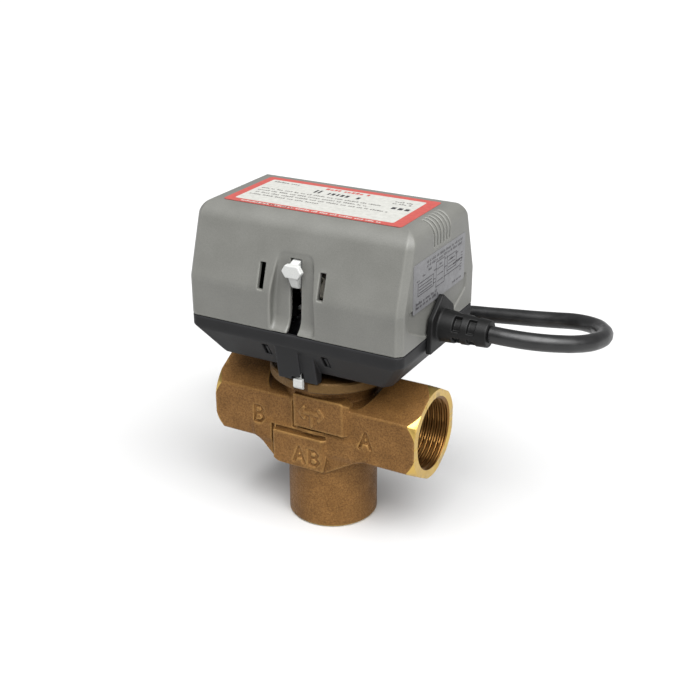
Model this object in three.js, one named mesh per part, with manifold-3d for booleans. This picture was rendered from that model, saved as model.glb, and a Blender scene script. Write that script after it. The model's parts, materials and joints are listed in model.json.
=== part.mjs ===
// A three-port zone valve with a motorised actuator, in millimetres, +Z up.
// The origin is on the valve stem's axis, at the lower end face of port AB. Port A points along +X,
// port B along -X, and the manual lever is on the -Y side of the actuator.
import * as THREE from 'three';
import { mergeVertices } from 'three/addons/utils/BufferGeometryUtils.js';
import Module from 'manifold-3d';

const wasm = await Module();
wasm.setup();

// ---- driving dimensions ----------------------------------------------------------------------
const GAP = 0.3; // between pieces that meet

// Valve body: a hexagonal bar between ports A and B, and a round port AB below it.
const PORT_Z = 48.8; // height of the axis through ports A and B
const HALF_LENGTH = 49.2; // from the stem axis to the end faces of ports A and B
const HEX_FLAT = 19.3; // from the axis to a flat
const HEX_CORNER = HEX_FLAT / Math.cos(Math.PI / 6);
const END_FACE_R = 19.8; // the turned end ring, outside
const CHAMFER_X = 3.8; // length of the turned cone behind the end ring
const SOCKET_R = 15.15; // inside diameter of a 1 inch parallel thread, halved
const SOCKET_DEPTH = 17.5;
const WATERWAY_R = 11.5;
const AB_R = 19.9;
const NECK_R = 20.5;
const NECK_TOP = 68.2;
const POCKET_R = 27.8; // the round clearing in the hexagon's upper faces
const POCKET_Z = 61;
const PAD_Y = -21.5; // front face of the raised pads
const CARTRIDGE_BORE_R = 14.5;
const CARTRIDGE_Z = 26; // shelf that the cartridge stands on
const FACETS = 20; // sides of the cartridge's round pieces

// Cartridge inside the body.
const CAGE_R = 14.2;
const CAGE_BORE_R = 11;
const CAGE_TOP = 62;
const WINDOW_A = [51, 58];
const WINDOW_B = [39.5, 46.5];
const PLUNGER_R = 10.6;
const PLUNGER_Z = [49, 60];
const PLUNGER_SEAL_Z = [51.4, 57.6];
const CAGE_SEAL_Z = [35, 60.4];
const STEM_R = 2;
const STEM_TOP = 101;

// Bonnet that closes the body and carries the actuator.
const FLANGE_R = 27.2;
const FLANGE_Z = [68.5, 73.6];
const BOSS_R = 13;
const BOSS_TOP = 84.5;
const LUG_R = 17;
const LUG_Z = 82.9;

// Actuator casing.
const CASE_X = 49.2;
const CASE_Y = 33.5;
const CASE_CORNER = 3;
const CASE_BACK = 37.5; // the casing stands further back than forward of the valve's axis
const CASE_LEFT = 50.2;
const CASE_WALL = 2;
const BASE_BOTTOM = 78.1;
const BASE_FLOOR = BASE_BOTTOM + CASE_WALL;
const BASE_RIM = 91.5; // the sloping walls end here and the upright band begins
const BASE_INSET_X = 9.3;
const BASE_INSET_Y = 8.4;
const SPLIT = 96.7; // lower edge of the cover
const CREASE = 113.5; // the cover's front and back lean inwards above this
const COVER_TOP = 144.1;
const COVER_INSET = 9.6;
const TOP_FILLET = 6.5;

// Front channel, lever slot and side slots of the cover.
const CHANNEL_HALF = 10.3;
const CHANNEL_TOP_HALF = 7.3;
const CHANNEL_FLOOR = -28.4;
const CHANNEL_TOP = 130.5;
const SLOT_HALF = 2.15;
const SLOT_TOP = 127.6;
const SIDE_SLOT_X = 13.9;
const SIDE_SLOT_HALF = 1.2;
const SIDE_SLOT_Z = [114.2, 125];

// Cable and its moulded gland, leaving along +X.
const CABLE_Z = 99.4;
const CABLE_R = 3.6;
const GLAND_HOLE_R = 7.9;
const GLAND_END = 72.3;
const COIL_CENTRE = [-67, 92];
const COIL_R = 36;
const COIL_PITCH = 7.3;
const COIL_FIRST_Z = 4.4;
const COIL_TURNS = 3;
const COIL_START = THREE.MathUtils.degToRad(-108); // the turns run clockwise from here
const TAIL_ANGLE = 0.85; // the tail's arc above the coil, in radians
const CORE_LENGTH = 34;

// Gear train: centres as [x, z], turning about axes along Y.
const RACK_PITCH_X = 2;
const OUTPUT = { centre: [8, 111], pinion: [12, 1], wheel: [30, 0.8] };
const SECOND = { pinion: [10, 0.8], wheel: [36, 0.7], bearing: 62 };
const FIRST = { pinion: [10, 0.7], wheel: [40, 0.6], bearing: -48 };
const MOTOR = { pinion: [10, 0.6], bearing: -100 };
const AXLE_R = 1;
const FRONT_PLATE_Y = [-8.4, -7.4];
const REAR_PLATE_Y = [11.2, 12.2];
const PLATE_X = [-14, 40.5];
const PLATE_Z = [85, 139];
const PILLARS = [[-11, 134], [38, 132], [38, 88]];
const RACK_Y = [-15.8, -10.2];

// ---- materials -------------------------------------------------------------------------------
function finish(color, roughness, metalness) {
  return { color, roughness, metalness };
}
const CAST_BRASS = finish(0x9a7448, 0.55, 0.8);
const MACHINED_BRASS = finish(0xb8975a, 0.35, 0.9);
const STEEL = finish(0xa8acb0, 0.35, 0.9);
const SEAL_RUBBER = finish(0x1b1b1b, 0.8, 0);
const COVER_GREY = finish(0x8e8d87, 0.55, 0);
const BASE_GREY = finish(0x3e3f40, 0.5, 0);
const WHITE_PLASTIC = finish(0xe9e9e6, 0.45, 0);
const NATURAL_PLASTIC = finish(0xe4dfcf, 0.5, 0);
const BLACK_PLASTIC = finish(0x1f1f20, 0.45, 0);
const LABEL = finish(0xe8dfdc, 0.6, 0);
const WIRING_LABEL = finish(0xb5bcc2, 0.6, 0);
const BOARD_GREEN = finish(0x1f5a38, 0.5, 0);
const COPPER = finish(0xb06a3a, 0.4, 0.9);
const CABLE_BLACK = finish(0x17181a, 0.35, 0);
const LEAD_BLUE = finish(0x2c56a8, 0.5, 0);

const group = new THREE.Group();

// ---- helpers ---------------------------------------------------------------------------------
function closed(geometry) {
  const plain = geometry.index ? geometry.toNonIndexed() : geometry.clone();
  plain.deleteAttribute('normal');
  plain.deleteAttribute('uv');
  return mergeVertices(plain, 1e-4);
}

function solid(geometry) {
  const merged = closed(geometry);
  return new wasm.Manifold(new wasm.Mesh({
    numProp: 3,
    vertProperties: new Float32Array(merged.attributes.position.array),
    triVerts: new Uint32Array(merged.index.array),
  }));
}

function geometryOf(manifold) {
  const mesh = manifold.getMesh();
  const geometry = new THREE.BufferGeometry();
  geometry.setAttribute('position', new THREE.BufferAttribute(mesh.vertProperties, 3));
  geometry.setIndex(new THREE.BufferAttribute(mesh.triVerts, 1));
  return geometry;
}

function add(name, shape, look) {
  const geometry = shape.getMesh ? geometryOf(shape) : shape;
  const mesh = new THREE.Mesh(geometry, new THREE.MeshStandardMaterial(look));
  mesh.name = name;
  group.add(mesh);
}

function addEach(names, shapes, look) {
  names.forEach((name, i) => add(name, shapes[i], look));
}

function join(...parts) {
  return parts.reduce((whole, part) => whole.add(part));
}

function cut(whole, ...tools) {
  return tools.reduce((rest, tool) => rest.subtract(tool), whole);
}

function box(x, y, z) {
  const size = [x[1] - x[0], y[1] - y[0], z[1] - z[0]];
  const middle = [(x[0] + x[1]) / 2, (y[0] + y[1]) / 2, (z[0] + z[1]) / 2];
  return new THREE.BoxGeometry(...size).translate(...middle);
}

function cylinderZ(radius, z, segments = 28, centre = [0, 0]) {
  return new THREE.CylinderGeometry(radius, radius, z[1] - z[0], segments)
    .rotateX(Math.PI / 2)
    .translate(centre[0], centre[1], (z[0] + z[1]) / 2);
}

function cylinderY(radius, y, segments = 24, centre = [0, 0]) {
  return new THREE.CylinderGeometry(radius, radius, y[1] - y[0], segments)
    .translate(centre[0], (y[0] + y[1]) / 2, centre[1]);
}

function cylinderX(radius, x, segments = 28, centre = [0, 0]) {
  return new THREE.CylinderGeometry(radius, radius, x[1] - x[0], segments)
    .rotateZ(Math.PI / 2)
    .translate((x[0] + x[1]) / 2, centre[0], centre[1]);
}

// A body of revolution about Z from [radius, z] points.
function turned(profile, segments = 28) {
  const points = profile.map(([radius, z]) => new THREE.Vector2(radius, z));
  return new THREE.LatheGeometry(points, segments).rotateX(Math.PI / 2);
}

function ring(inner, outer, z, segments = 28) {
  return turned([[inner, z[0]], [outer, z[0]], [outer, z[1]], [inner, z[1]], [inner, z[0]]], segments);
}

function sealRing(radius, thickness, z, segments = FACETS) {
  const sides = 5;
  const points = Array.from({ length: sides + 1 }, (_, i) => {
    const turn = (i / sides) * Math.PI * 2;
    return [radius + thickness * Math.cos(turn), z + thickness * Math.sin(turn)];
  });
  points[sides] = points[0];
  return turned(points, segments);
}

// A closed outline from [u, v, corner radius] points, each corner rounded by an arc.
function outline(corners, steps = 4) {
  const at = corners.map(([u, v]) => new THREE.Vector2(u, v));
  const count = at.length;
  const points = [];
  corners.forEach(([, , radius = 0], i) => {
    const here = at[i];
    if (!radius) {
      points.push(here);
      return;
    }
    const before = at[(i + count - 1) % count].clone().sub(here).normalize();
    const after = at[(i + 1) % count].clone().sub(here).normalize();
    const half = Math.acos(THREE.MathUtils.clamp(before.dot(after), -1, 1)) / 2;
    const reach = radius / Math.tan(half);
    const middle = before.clone().add(after).normalize().multiplyScalar(radius / Math.sin(half)).add(here);
    const from = here.clone().addScaledVector(before, reach).sub(middle);
    const to = here.clone().addScaledVector(after, reach).sub(middle);
    const first = from.angle();
    const sweep = THREE.MathUtils.euclideanModulo(to.angle() - first + Math.PI, 2 * Math.PI) - Math.PI;
    for (let k = 0; k <= steps; k += 1) {
      const turn = first + (sweep * k) / steps;
      points.push(new THREE.Vector2(radius * Math.cos(turn), radius * Math.sin(turn)).add(middle));
    }
  });
  return new THREE.Shape(points);
}

function extruded(shape, depth) {
  return new THREE.ExtrudeGeometry(shape, { depth, bevelEnabled: false, curveSegments: 6 });
}

// Prisms along Z from an [x, y] outline, along Y from [x, z], and along X from [y, z].
function prismZ(shape, z) {
  return extruded(shape, z[1] - z[0]).translate(0, 0, z[0]);
}

function prismY(shape, y) {
  return extruded(shape, y[1] - y[0]).rotateX(Math.PI / 2).translate(0, y[1], 0);
}

function prismX(shape, x) {
  const axes = new THREE.Matrix4().makeBasis(
    new THREE.Vector3(0, 1, 0), new THREE.Vector3(0, 0, 1), new THREE.Vector3(1, 0, 0));
  return extruded(shape, x[1] - x[0]).applyMatrix4(axes).translate(x[0], 0, 0);
}

function roundedBox(halfX, halfY, corner, z, steps = 4) {
  const corners = [[-halfX, -halfY, corner], [halfX, -halfY, corner],
    [halfX, halfY, corner], [-halfX, halfY, corner]];
  return prismZ(outline(corners, steps), z);
}

function tube(points, radius, sides, steps) {
  const curve = new THREE.CatmullRomCurve3(points.map((p) => new THREE.Vector3(...p)));
  const section = outline(Array.from({ length: sides }, (_, i) => {
    const turn = (i / sides) * Math.PI * 2;
    return [radius * Math.cos(turn), radius * Math.sin(turn)];
  }));
  return new THREE.ExtrudeGeometry(section, { steps, extrudePath: curve, bevelEnabled: false });
}

// ---- valve body ------------------------------------------------------------------------------
function hexagon(radius) {
  return outline(Array.from({ length: 6 }, (_, i) => {
    const turn = Math.PI / 2 + (i * Math.PI) / 3;
    return [radius * Math.cos(turn), PORT_Z + radius * Math.sin(turn)];
  }));
}

function turnedEnds() {
  const rise = HEX_CORNER + 0.4;
  const shoulder = HALF_LENGTH - CHAMFER_X * ((rise - END_FACE_R) / (HEX_CORNER - END_FACE_R));
  const profile = [[0, -HALF_LENGTH], [END_FACE_R, -HALF_LENGTH], [rise, -shoulder],
    [rise, shoulder], [END_FACE_R, HALF_LENGTH], [0, HALF_LENGTH]];
  return turned(profile, 32).rotateY(Math.PI / 2).translate(0, 0, PORT_Z);
}

function padZ(x, run, z) {
  const shape = outline([[x[0], PAD_Y], [x[1], PAD_Y], [x[1] + run, -HEX_FLAT],
    [x[1] + run, -15], [x[0], -15]]);
  return prismZ(shape, z);
}

function valveBody() {
  const bar = cut(
    solid(prismX(hexagon(HEX_CORNER), [-HALF_LENGTH, HALF_LENGTH])).intersect(solid(turnedEnds())),
    solid(cylinderZ(POCKET_R, [POCKET_Z, 80])),
  );
  const web = outline([[-28, 38.4], [-21.9, 31.3], [-18.4, 28.3], [-12, 27.2], [7, 27.2],
    [12, 30.2], [20.2, 35.2], [32.6, 38.4]]);
  const upperPad = padZ([-7.5, 16.4], 5.1, [48.5, 64]);
  const lowerPad = padZ([-18.2, 6.3], 3.5, [29.6, 44.1]);
  const outside = join(
    bar,
    solid(prismY(web, [-HEX_FLAT, HEX_FLAT])),
    solid(turned([[0, 0], [AB_R - 1, 0], [AB_R, 1], [AB_R, 45], [0, 45]], 32)),
    solid(cylinderZ(NECK_R, [45, NECK_TOP])),
    solid(upperPad),
    solid(lowerPad),
    solid(upperPad.clone().rotateZ(Math.PI)),
  );
  const inside = [
    cylinderX(SOCKET_R, [HALF_LENGTH - SOCKET_DEPTH, HALF_LENGTH + 1], 28, [0, PORT_Z]),
    cylinderX(SOCKET_R, [-HALF_LENGTH - 1, SOCKET_DEPTH - HALF_LENGTH], 28, [0, PORT_Z]),
    cylinderX(WATERWAY_R, [SOCKET_DEPTH - HALF_LENGTH - 1, HALF_LENGTH - SOCKET_DEPTH + 1], 24, [0, PORT_Z]),
    cylinderZ(SOCKET_R, [-1, SOCKET_DEPTH]),
    cylinderZ(WATERWAY_R + 1, [SOCKET_DEPTH - 1, CARTRIDGE_Z + 1]),
    cylinderZ(CARTRIDGE_BORE_R, [CARTRIDGE_Z, NECK_TOP + 1]),
  ];
  add('valve_body', cut(outside, ...inside.map(solid)), CAST_BRASS);
}

// ---- cartridge, stem and bonnet --------------------------------------------------------------
function cartridge() {
  const seats = CAGE_SEAL_Z.map((z) => solid(ring(CAGE_R - 1.4, CAGE_R + 1, [z - 0.9, z + 0.9], FACETS)));
  const windows = [
    box([0, 20], [-7.5, 7.5], WINDOW_A),
    box([-20, 0], [-7.5, 7.5], WINDOW_B),
  ];
  const shell = solid(ring(CAGE_BORE_R, CAGE_R, [CARTRIDGE_Z + GAP, CAGE_TOP], FACETS));
  add('cartridge_cage', cut(shell, ...windows.map(solid), ...seats), NATURAL_PLASTIC);
  addEach(['lower_cage_seal', 'upper_cage_seal'], CAGE_SEAL_Z.map((z) => sealRing(CAGE_R - 0.55, 0.6, z)), SEAL_RUBBER);

  const grooves = PLUNGER_SEAL_Z.map((z) => solid(ring(PLUNGER_R - 1.3, PLUNGER_R + 1, [z - 0.9, z + 0.9], FACETS)));
  const spider = join(
    solid(box([-8.5, 8.5], [-1.3, 1.3], [52, 57])),
    solid(box([-1.3, 1.3], [-8.5, 8.5], [52, 57])),
    solid(cylinderZ(4, PLUNGER_Z, 14)),
  );
  const rim = cut(solid(ring(7.4, PLUNGER_R, PLUNGER_Z, FACETS)), ...grooves);
  const plunger = cut(join(rim, spider), solid(cylinderZ(STEM_R + GAP, [40, 65], 14)));
  add('flow_plunger', plunger, NATURAL_PLASTIC);
  addEach(['lower_plunger_seal', 'upper_plunger_seal'], PLUNGER_SEAL_Z.map((z) => sealRing(PLUNGER_R - 0.4, 0.6, z)), SEAL_RUBBER);
  add('stem_circlip', ring(STEM_R + GAP, 4.2, [47.6, 48.5], 14), STEEL);

  const profile = [[0, 46.8], [STEM_R, 46.8], [STEM_R, 60.3], [3.2, 60.3], [3.2, 61.8], [STEM_R, 61.8],
    [STEM_R, 92.8], [3.2, 92.8], [3.2, 95.2], [1.7, 95.2], [1.7, 99.3], [3.2, 99.3], [3.2, 100.2],
    [2.4, STEM_TOP], [0, STEM_TOP]];
  add('valve_stem', turned(profile, 14), STEEL);
}

function bonnet() {
  const bore = STEM_R + 0.4;
  const profile = [[bore, 62.3], [CAGE_R, 62.3], [CAGE_R, 64.2], [CAGE_R - 1.3, 64.2], [CAGE_R - 1.3, 66],
    [CAGE_R, 66], [CAGE_R, FLANGE_Z[0]], [FLANGE_R - 0.5, FLANGE_Z[0]], [FLANGE_R, FLANGE_Z[0] + 0.5],
    [FLANGE_R, FLANGE_Z[1] - 0.8], [FLANGE_R - 0.8, FLANGE_Z[1]], [BOSS_R, FLANGE_Z[1]],
    [BOSS_R, BOSS_TOP], [3.9, BOSS_TOP], [3.9, 81.4], [bore, 81.4], [bore, 78], [3.8, 78], [3.8, 76.4],
    [bore, 76.4], [bore, 62.3]];
  const lugs = solid(box([-20, 20], [-4, 4], [LUG_Z, BOSS_TOP]))
    .intersect(solid(ring(BOSS_R - 2, LUG_R, [LUG_Z, BOSS_TOP])));
  const notch = solid(box([-3.4, 3.4], [-30, -25.4], [60, 80]));
  add('bonnet', cut(join(solid(turned(profile, 24)), lugs), notch), MACHINED_BRASS);
  add('bonnet_seal', sealRing(CAGE_R - 0.6, 0.6, 65.1), SEAL_RUBBER);
  add('stem_seal', sealRing(STEM_R + 0.95, 0.5, 77.2, 14), SEAL_RUBBER);
}

// ---- actuator casing -------------------------------------------------------------------------
const CASE_MIDDLE = [(CASE_X - CASE_LEFT) / 2, (CASE_BACK - CASE_Y) / 2, 0];

function baseBlock(offset, z) {
  const top = z[1];
  const side = (half, inset) => outline([[-half + inset, z[0]], [half - inset, z[0]],
    [half, BASE_RIM], [half, top], [-half, top], [-half, BASE_RIM]]);
  const wide = (CASE_X + CASE_LEFT) / 2 - offset;
  const deep = (CASE_Y + CASE_BACK) / 2 - offset;
  return solid(prismY(side(wide, BASE_INSET_X), [-deep, deep]))
    .intersect(solid(prismX(side(deep, BASE_INSET_Y), [-wide, wide])))
    .intersect(solid(roundedBox(wide, deep, CASE_CORNER - offset / 2, z)))
    .translate(CASE_MIDDLE);
}

function lipBlock(offset, z) {
  const wide = (CASE_X + CASE_LEFT) / 2 - offset;
  const deep = (CASE_Y + CASE_BACK) / 2 - offset;
  return solid(roundedBox(wide, deep, CASE_CORNER - offset / 2, z, 3)).translate(CASE_MIDDLE);
}

function baseHousing() {
  const top = SPLIT - GAP;
  const lip = cut(
    lipBlock(CASE_WALL + GAP, [94, 98.6]),
    lipBlock(3.5, [93, 99]),
    solid(box([-13, 13], [-40, -20], [SPLIT - GAP, 99])),
  );
  const feet = [[-23, -7.9], [36, -7.9], [-23, 11.7], [36, 11.7]]
    .map(([x, y]) => solid(box([x - 1.6, x + 1.6], [y - 2, y + 2], [BASE_BOTTOM + 1, PLATE_Z[0] - GAP])));
  const latchHouse = solid(box([-8.5, 8.5], [-31, -25], [75.2, 94]));
  const shell = cut(
    join(baseBlock(0, [BASE_BOTTOM, top]), latchHouse),
    cut(baseBlock(CASE_WALL, [BASE_FLOOR, top + 1]), solid(box([-8.5, 8.5], [-40, -25], [70, 94]))),
  );
  const windows = [-14, 14].map((x) => solid(box([x - 1, x + 1], [-40, -27], [84.2, 89])));
  const base = cut(
    join(shell, lip, ...feet),
    solid(cylinderZ(18, [BASE_BOTTOM - 1, BASE_FLOOR + 0.2], 28)),
    solid(cylinderX(GLAND_HOLE_R, [44, 60], 28, [0, CABLE_Z])),
    solid(cylinderX(10.4, [40, 47.1], 28, [0, CABLE_Z])),
    solid(box([-2.7, 2.7], [-30.1, -27.3], [70, 92])),
    ...windows,
  );
  add('base_housing', base, BASE_GREY);
}

function coverBlock(offset, z) {
  const top = COVER_TOP - offset;
  const fillet = TOP_FILLET - offset;
  const deep = (CASE_Y + CASE_BACK) / 2 - offset;
  const wide = (CASE_X + CASE_LEFT) / 2 - offset;
  const lean = COVER_INSET;
  const front = outline([[-wide, z], [wide, z], [wide, top, fillet], [-wide, top, fillet]], 5);
  const side = outline([[-deep, z], [deep, z], [deep, CREASE], [deep - lean, top, fillet],
    [-deep + lean, top, fillet], [-deep, CREASE]], 5);
  return solid(prismY(front, [-deep, deep]))
    .intersect(solid(prismX(side, [-wide, wide])))
    .intersect(solid(roundedBox(wide, deep, CASE_CORNER - offset / 2, [z, top])))
    .translate(CASE_MIDDLE);
}

// The scooped front channel, grown by a margin for the wall behind it.
function channel(margin) {
  const half = CHANNEL_HALF + margin;
  const topHalf = CHANNEL_TOP_HALF + margin;
  const top = CHANNEL_TOP + margin;
  const arch = outline([[-half, 90], [half, 90], [half, 118], [topHalf, top, 3 + margin],
    [-topHalf, top, 3 + margin], [-half, 118]]);
  const floor = CHANNEL_FLOOR + margin;
  const scoop = outline([[-45, 90], [-CASE_Y + margin, 90], [-CASE_Y + margin, SPLIT + 0.6],
    [floor, 104], [floor, 140], [-45, 140]]);
  return solid(prismY(arch, [-45, -20])).intersect(solid(prismX(scoop, [-half, half])));
}

function coverHousing() {
  const cavity = cut(coverBlock(CASE_WALL, SPLIT - 1), channel(CASE_WALL));
  const sideSlots = [-1, 1].map((side) => {
    const x = side * SIDE_SLOT_X;
    return solid(box([x - SIDE_SLOT_HALF, x + SIDE_SLOT_HALF], [-40, -25], SIDE_SLOT_Z));
  });
  const cover = cut(
    coverBlock(0, SPLIT),
    cavity,
    channel(0),
    solid(box([-SLOT_HALF, SLOT_HALF], [-40, -22], [90, SLOT_TOP])),
    solid(cylinderX(GLAND_HOLE_R, [44, 60], 28, [0, CABLE_Z])),
    solid(box([44, 60], [-GLAND_HOLE_R, GLAND_HOLE_R], [90, CABLE_Z])),
    ...sideSlots,
  );
  add('cover_housing', cover, COVER_GREY);
}

function labels() {
  const plate = outline([[-41, -18.5, 1.5], [41, -18.5, 1.5], [41, 19, 1.5], [-41, 19, 1.5]], 2);
  add('top_label', prismZ(plate, [COVER_TOP, COVER_TOP + 0.25]), LABEL);
  add('wiring_label', box([CASE_X, CASE_X + 0.25], [-24, 25], [113.5, 131.5]), WIRING_LABEL);
}

// ---- lever, rack and stem coupler ------------------------------------------------------------
function driveRack() {
  const [teeth, module] = [8, OUTPUT.pinion[1]];
  const pitch = Math.PI * module;
  const root = RACK_PITCH_X - 1.25 * module;
  const tip = RACK_PITCH_X + 0.9 * module;
  const points = [[-4, 95], [root, 95]];
  for (let k = 0; k < teeth; k += 1) {
    const z = OUTPUT.centre[1] + pitch * (k - 2.5);
    points.push([root, z - 0.26 * pitch], [tip, z - 0.09 * pitch], [tip, z + 0.09 * pitch],
      [root, z + 0.26 * pitch]);
  }
  points.push([root, 128.5], [-4, 128.5], [-4, 112], [-6, 111], [-6, 109], [-4, 108]);
  add('drive_rack', prismY(outline(points), RACK_Y), NATURAL_PLASTIC);
}

function stemCoupler() {
  const arm = [95.5, 99];
  const fork = join(
    solid(box([-4.4, 2], [-9.9, -2], arm)),
    solid(box([-5.2, 5.2], [-3, 5.5], arm)),
  );
  const slot = join(
    solid(cylinderZ(2.1, [90, 105], 20)),
    solid(box([-2.1, 2.1], [0, 10], [90, 105])),
  );
  add('stem_coupler', cut(fork, slot), STEEL);
}

function manualLever() {
  const knob = outline([[-4.85, 123.5], [-3, 120.6], [3, 120.6], [4.85, 123.5], [3, 126.4], [-3, 126.4]]);
  const neck = outline([[-33, 120.6], [-31, 117.4, 1], [-27, 116.5], [-19, 116.5], [-19, 126.4], [-33, 126.4]]);
  const lever = join(
    solid(prismY(knob, [-33, -30.4])),
    solid(prismX(neck, [-1.8, 1.8])),
    solid(box([-3.8, 0.6], [-20, -16.1], [112, 127.5])),
  );
  add('manual_lever', lever, WHITE_PLASTIC);
}

function rackGuide() {
  const back = solid(box([-6.6, 0.5], [-9.9, FRONT_PLATE_Y[0] - GAP], [101, 127]));
  const cheek = solid(box([-6.6, -4.3], [-15, -9], [121, 127]));
  add('rack_guide', join(back, cheek), BLACK_PLASTIC);
}

// ---- gear train ------------------------------------------------------------------------------
function offset(centre, distance, bearing) {
  const turn = THREE.MathUtils.degToRad(bearing);
  return [centre[0] + distance * Math.cos(turn), centre[1] + distance * Math.sin(turn)];
}

function pitchRadius([teeth, module]) {
  return (teeth * module) / 2;
}

// A toothed prism along Y, with a tooth centred on the angle first (in radians from +X towards +Z).
function toothed([teeth, module], y, centre, first) {
  const radius = pitchRadius([teeth, module]);
  const [root, tip] = [radius - 1.25 * module, radius + 0.9 * module];
  const step = (2 * Math.PI) / teeth;
  const points = [];
  for (let k = 0; k < teeth; k += 1) {
    const middle = first + k * step;
    [[root, -0.27], [tip, -0.09], [tip, 0.09], [root, 0.27]].forEach(([r, share]) => {
      const turn = middle + share * step;
      points.push([centre[0] + r * Math.cos(turn), centre[1] + r * Math.sin(turn)]);
    });
  }
  return solid(prismY(outline(points), y));
}

// The angle of a tooth on the driven side, so that its gap faces the driver's tooth at the mesh.
function meshAngle(bearingToMate, mateFirst, mateTeeth, teeth) {
  const towards = THREE.MathUtils.degToRad(bearingToMate);
  const mateTowards = towards + Math.PI;
  const mateStep = (2 * Math.PI) / mateTeeth;
  const phase = (mateTowards - mateFirst) / mateStep;
  const step = (2 * Math.PI) / teeth;
  return towards + (phase + 0.5) * step;
}

function compoundGear(name, centre, pinion, wheel, layers, firsts, look) {
  const gear = join(
    toothed(pinion, layers.pinion, centre, firsts.pinion),
    toothed(wheel, layers.wheel, centre, firsts.wheel),
    solid(cylinderY(2.6, layers.hub, 12, centre)),
  );
  add(name, gear.subtract(solid(cylinderY(AXLE_R + 0.25, [-30, 30], 10, centre))), look);
}

function gearTrain() {
  const output = OUTPUT.centre;
  const second = offset(output, pitchRadius(OUTPUT.wheel) + pitchRadius(SECOND.pinion), SECOND.bearing);
  const first = offset(second, pitchRadius(SECOND.wheel) + pitchRadius(FIRST.pinion), FIRST.bearing);
  const motor = offset(first, pitchRadius(FIRST.wheel) + pitchRadius(MOTOR.pinion), MOTOR.bearing);

  const outputTurn = Math.PI; // a tooth points at the rack
  const secondPinion = meshAngle(SECOND.bearing + 180, outputTurn, OUTPUT.wheel[0], SECOND.pinion[0]);
  const firstPinion = meshAngle(FIRST.bearing + 180, secondPinion, SECOND.wheel[0], FIRST.pinion[0]);
  const motorPinion = meshAngle(MOTOR.bearing + 180, firstPinion, FIRST.wheel[0], MOTOR.pinion[0]);

  compoundGear('output_gear', output, OUTPUT.pinion, OUTPUT.wheel,
    { pinion: [-16.2, -5], wheel: [-6.5, -3.8], hub: [-5, 10.8] },
    { pinion: outputTurn, wheel: outputTurn }, NATURAL_PLASTIC);
  compoundGear('second_gear', second, SECOND.pinion, SECOND.wheel,
    { pinion: [-6.5, -2], wheel: [-2.8, -0.4], hub: [-1, 10.8] },
    { pinion: secondPinion, wheel: secondPinion }, NATURAL_PLASTIC);
  compoundGear('first_gear', first, FIRST.pinion, FIRST.wheel,
    { pinion: [-2.8, 2], wheel: [1.2, 3.4], hub: [2, 10.8] },
    { pinion: firstPinion, wheel: firstPinion }, NATURAL_PLASTIC);

  addEach(['output_axle', 'second_axle', 'first_axle'], [
    cylinderY(AXLE_R, [-17, 12.5], 10, output),
    cylinderY(AXLE_R, [-9, 12.5], 10, second),
    cylinderY(AXLE_R, [-9, 12.5], 10, first),
  ], STEEL);

  const rotor = join(
    toothed(MOTOR.pinion, [0.8, 4.4], motor, motorPinion),
    solid(cylinderY(1.1, [4, 24], 16, motor)),
    solid(cylinderY(8.5, [14.2, 23.6], 20, motor)),
  );
  add('motor_rotor', rotor, STEEL);
  const can = cut(
    solid(cylinderY(14.5, [12.6, 25.6], 24, motor)),
    solid(cylinderY(13.6, [12, 24.6], 24, motor)),
  );
  add('motor_can', can, STEEL);
  const coil = cut(
    solid(cylinderY(13.2, [13, 24.2], 24, motor)),
    solid(cylinderY(9.1, [12, 25], 20, motor)),
  );
  add('stator_coil', coil, COPPER);
  return { output, second, first, motor };
}

function gearPlates(centres) {
  const plate = (foot) => outline([[-24.6, PLATE_Z[0]], [foot ? -6.5 : 40.5, PLATE_Z[0]],
    ...(foot ? [[-6.5, 100], [6.5, 100], [6.5, PLATE_Z[0]], [40.5, PLATE_Z[0]]] : []),
    [40.5, PLATE_Z[1], 3], [PLATE_X[0], PLATE_Z[1], 3], [PLATE_X[0], 91], [-24.6, 91]], 3);
  const drilled = (shape, y, holes) => cut(solid(prismY(shape, y)),
    ...holes.map(([radius, centre]) => solid(cylinderY(radius, [-30, 30], 10, centre))));
  const axleHole = AXLE_R + GAP;
  const pillarHoles = PILLARS.map((centre) => [1.5, centre]);
  const front = drilled(plate(true), FRONT_PLATE_Y,
    [[8.3, centres.output], [axleHole, centres.second], [axleHole, centres.first], ...pillarHoles]);
  add('front_gear_plate', front, STEEL);
  const rear = drilled(plate(false), REAR_PLATE_Y, [[axleHole, centres.output], [axleHole, centres.second],
    [axleHole, centres.first], [3, centres.motor], ...pillarHoles]);
  add('rear_gear_plate', rear, STEEL);
  const pillar = (centre) => join(
    solid(cylinderY(2.4, [FRONT_PLATE_Y[1] + GAP, REAR_PLATE_Y[0] - GAP], 12, centre)),
    solid(cylinderY(1.2, [FRONT_PLATE_Y[0] - 0.4, REAR_PLATE_Y[1] + 0.4], 12, centre)),
  );
  addEach(['left_pillar', 'upper_pillar', 'lower_pillar'], PILLARS.map(pillar), STEEL);
}

// ---- switches, board and wiring --------------------------------------------------------------
function limitSwitches() {
  [['upper', 110], ['lower', 100]].forEach(([side, z]) => {
    const body = cut(
      solid(box([-20, -8.5], [-15.5, -9.3], [z - 3, z + 3])),
      solid(cylinderX(1.4, [-12.4, -8], 12, [-12.4, z])),
      solid(cylinderY(0.9, [-20, -5], 10, [-17.5, z])),
    );
    add(`${side}_switch`, body, BLACK_PLASTIC);
    add(`${side}_switch_button`, cylinderX(1.05, [-11.3, -6.3], 12, [-12.4, z]), WHITE_PLASTIC);
  });
}

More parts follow.
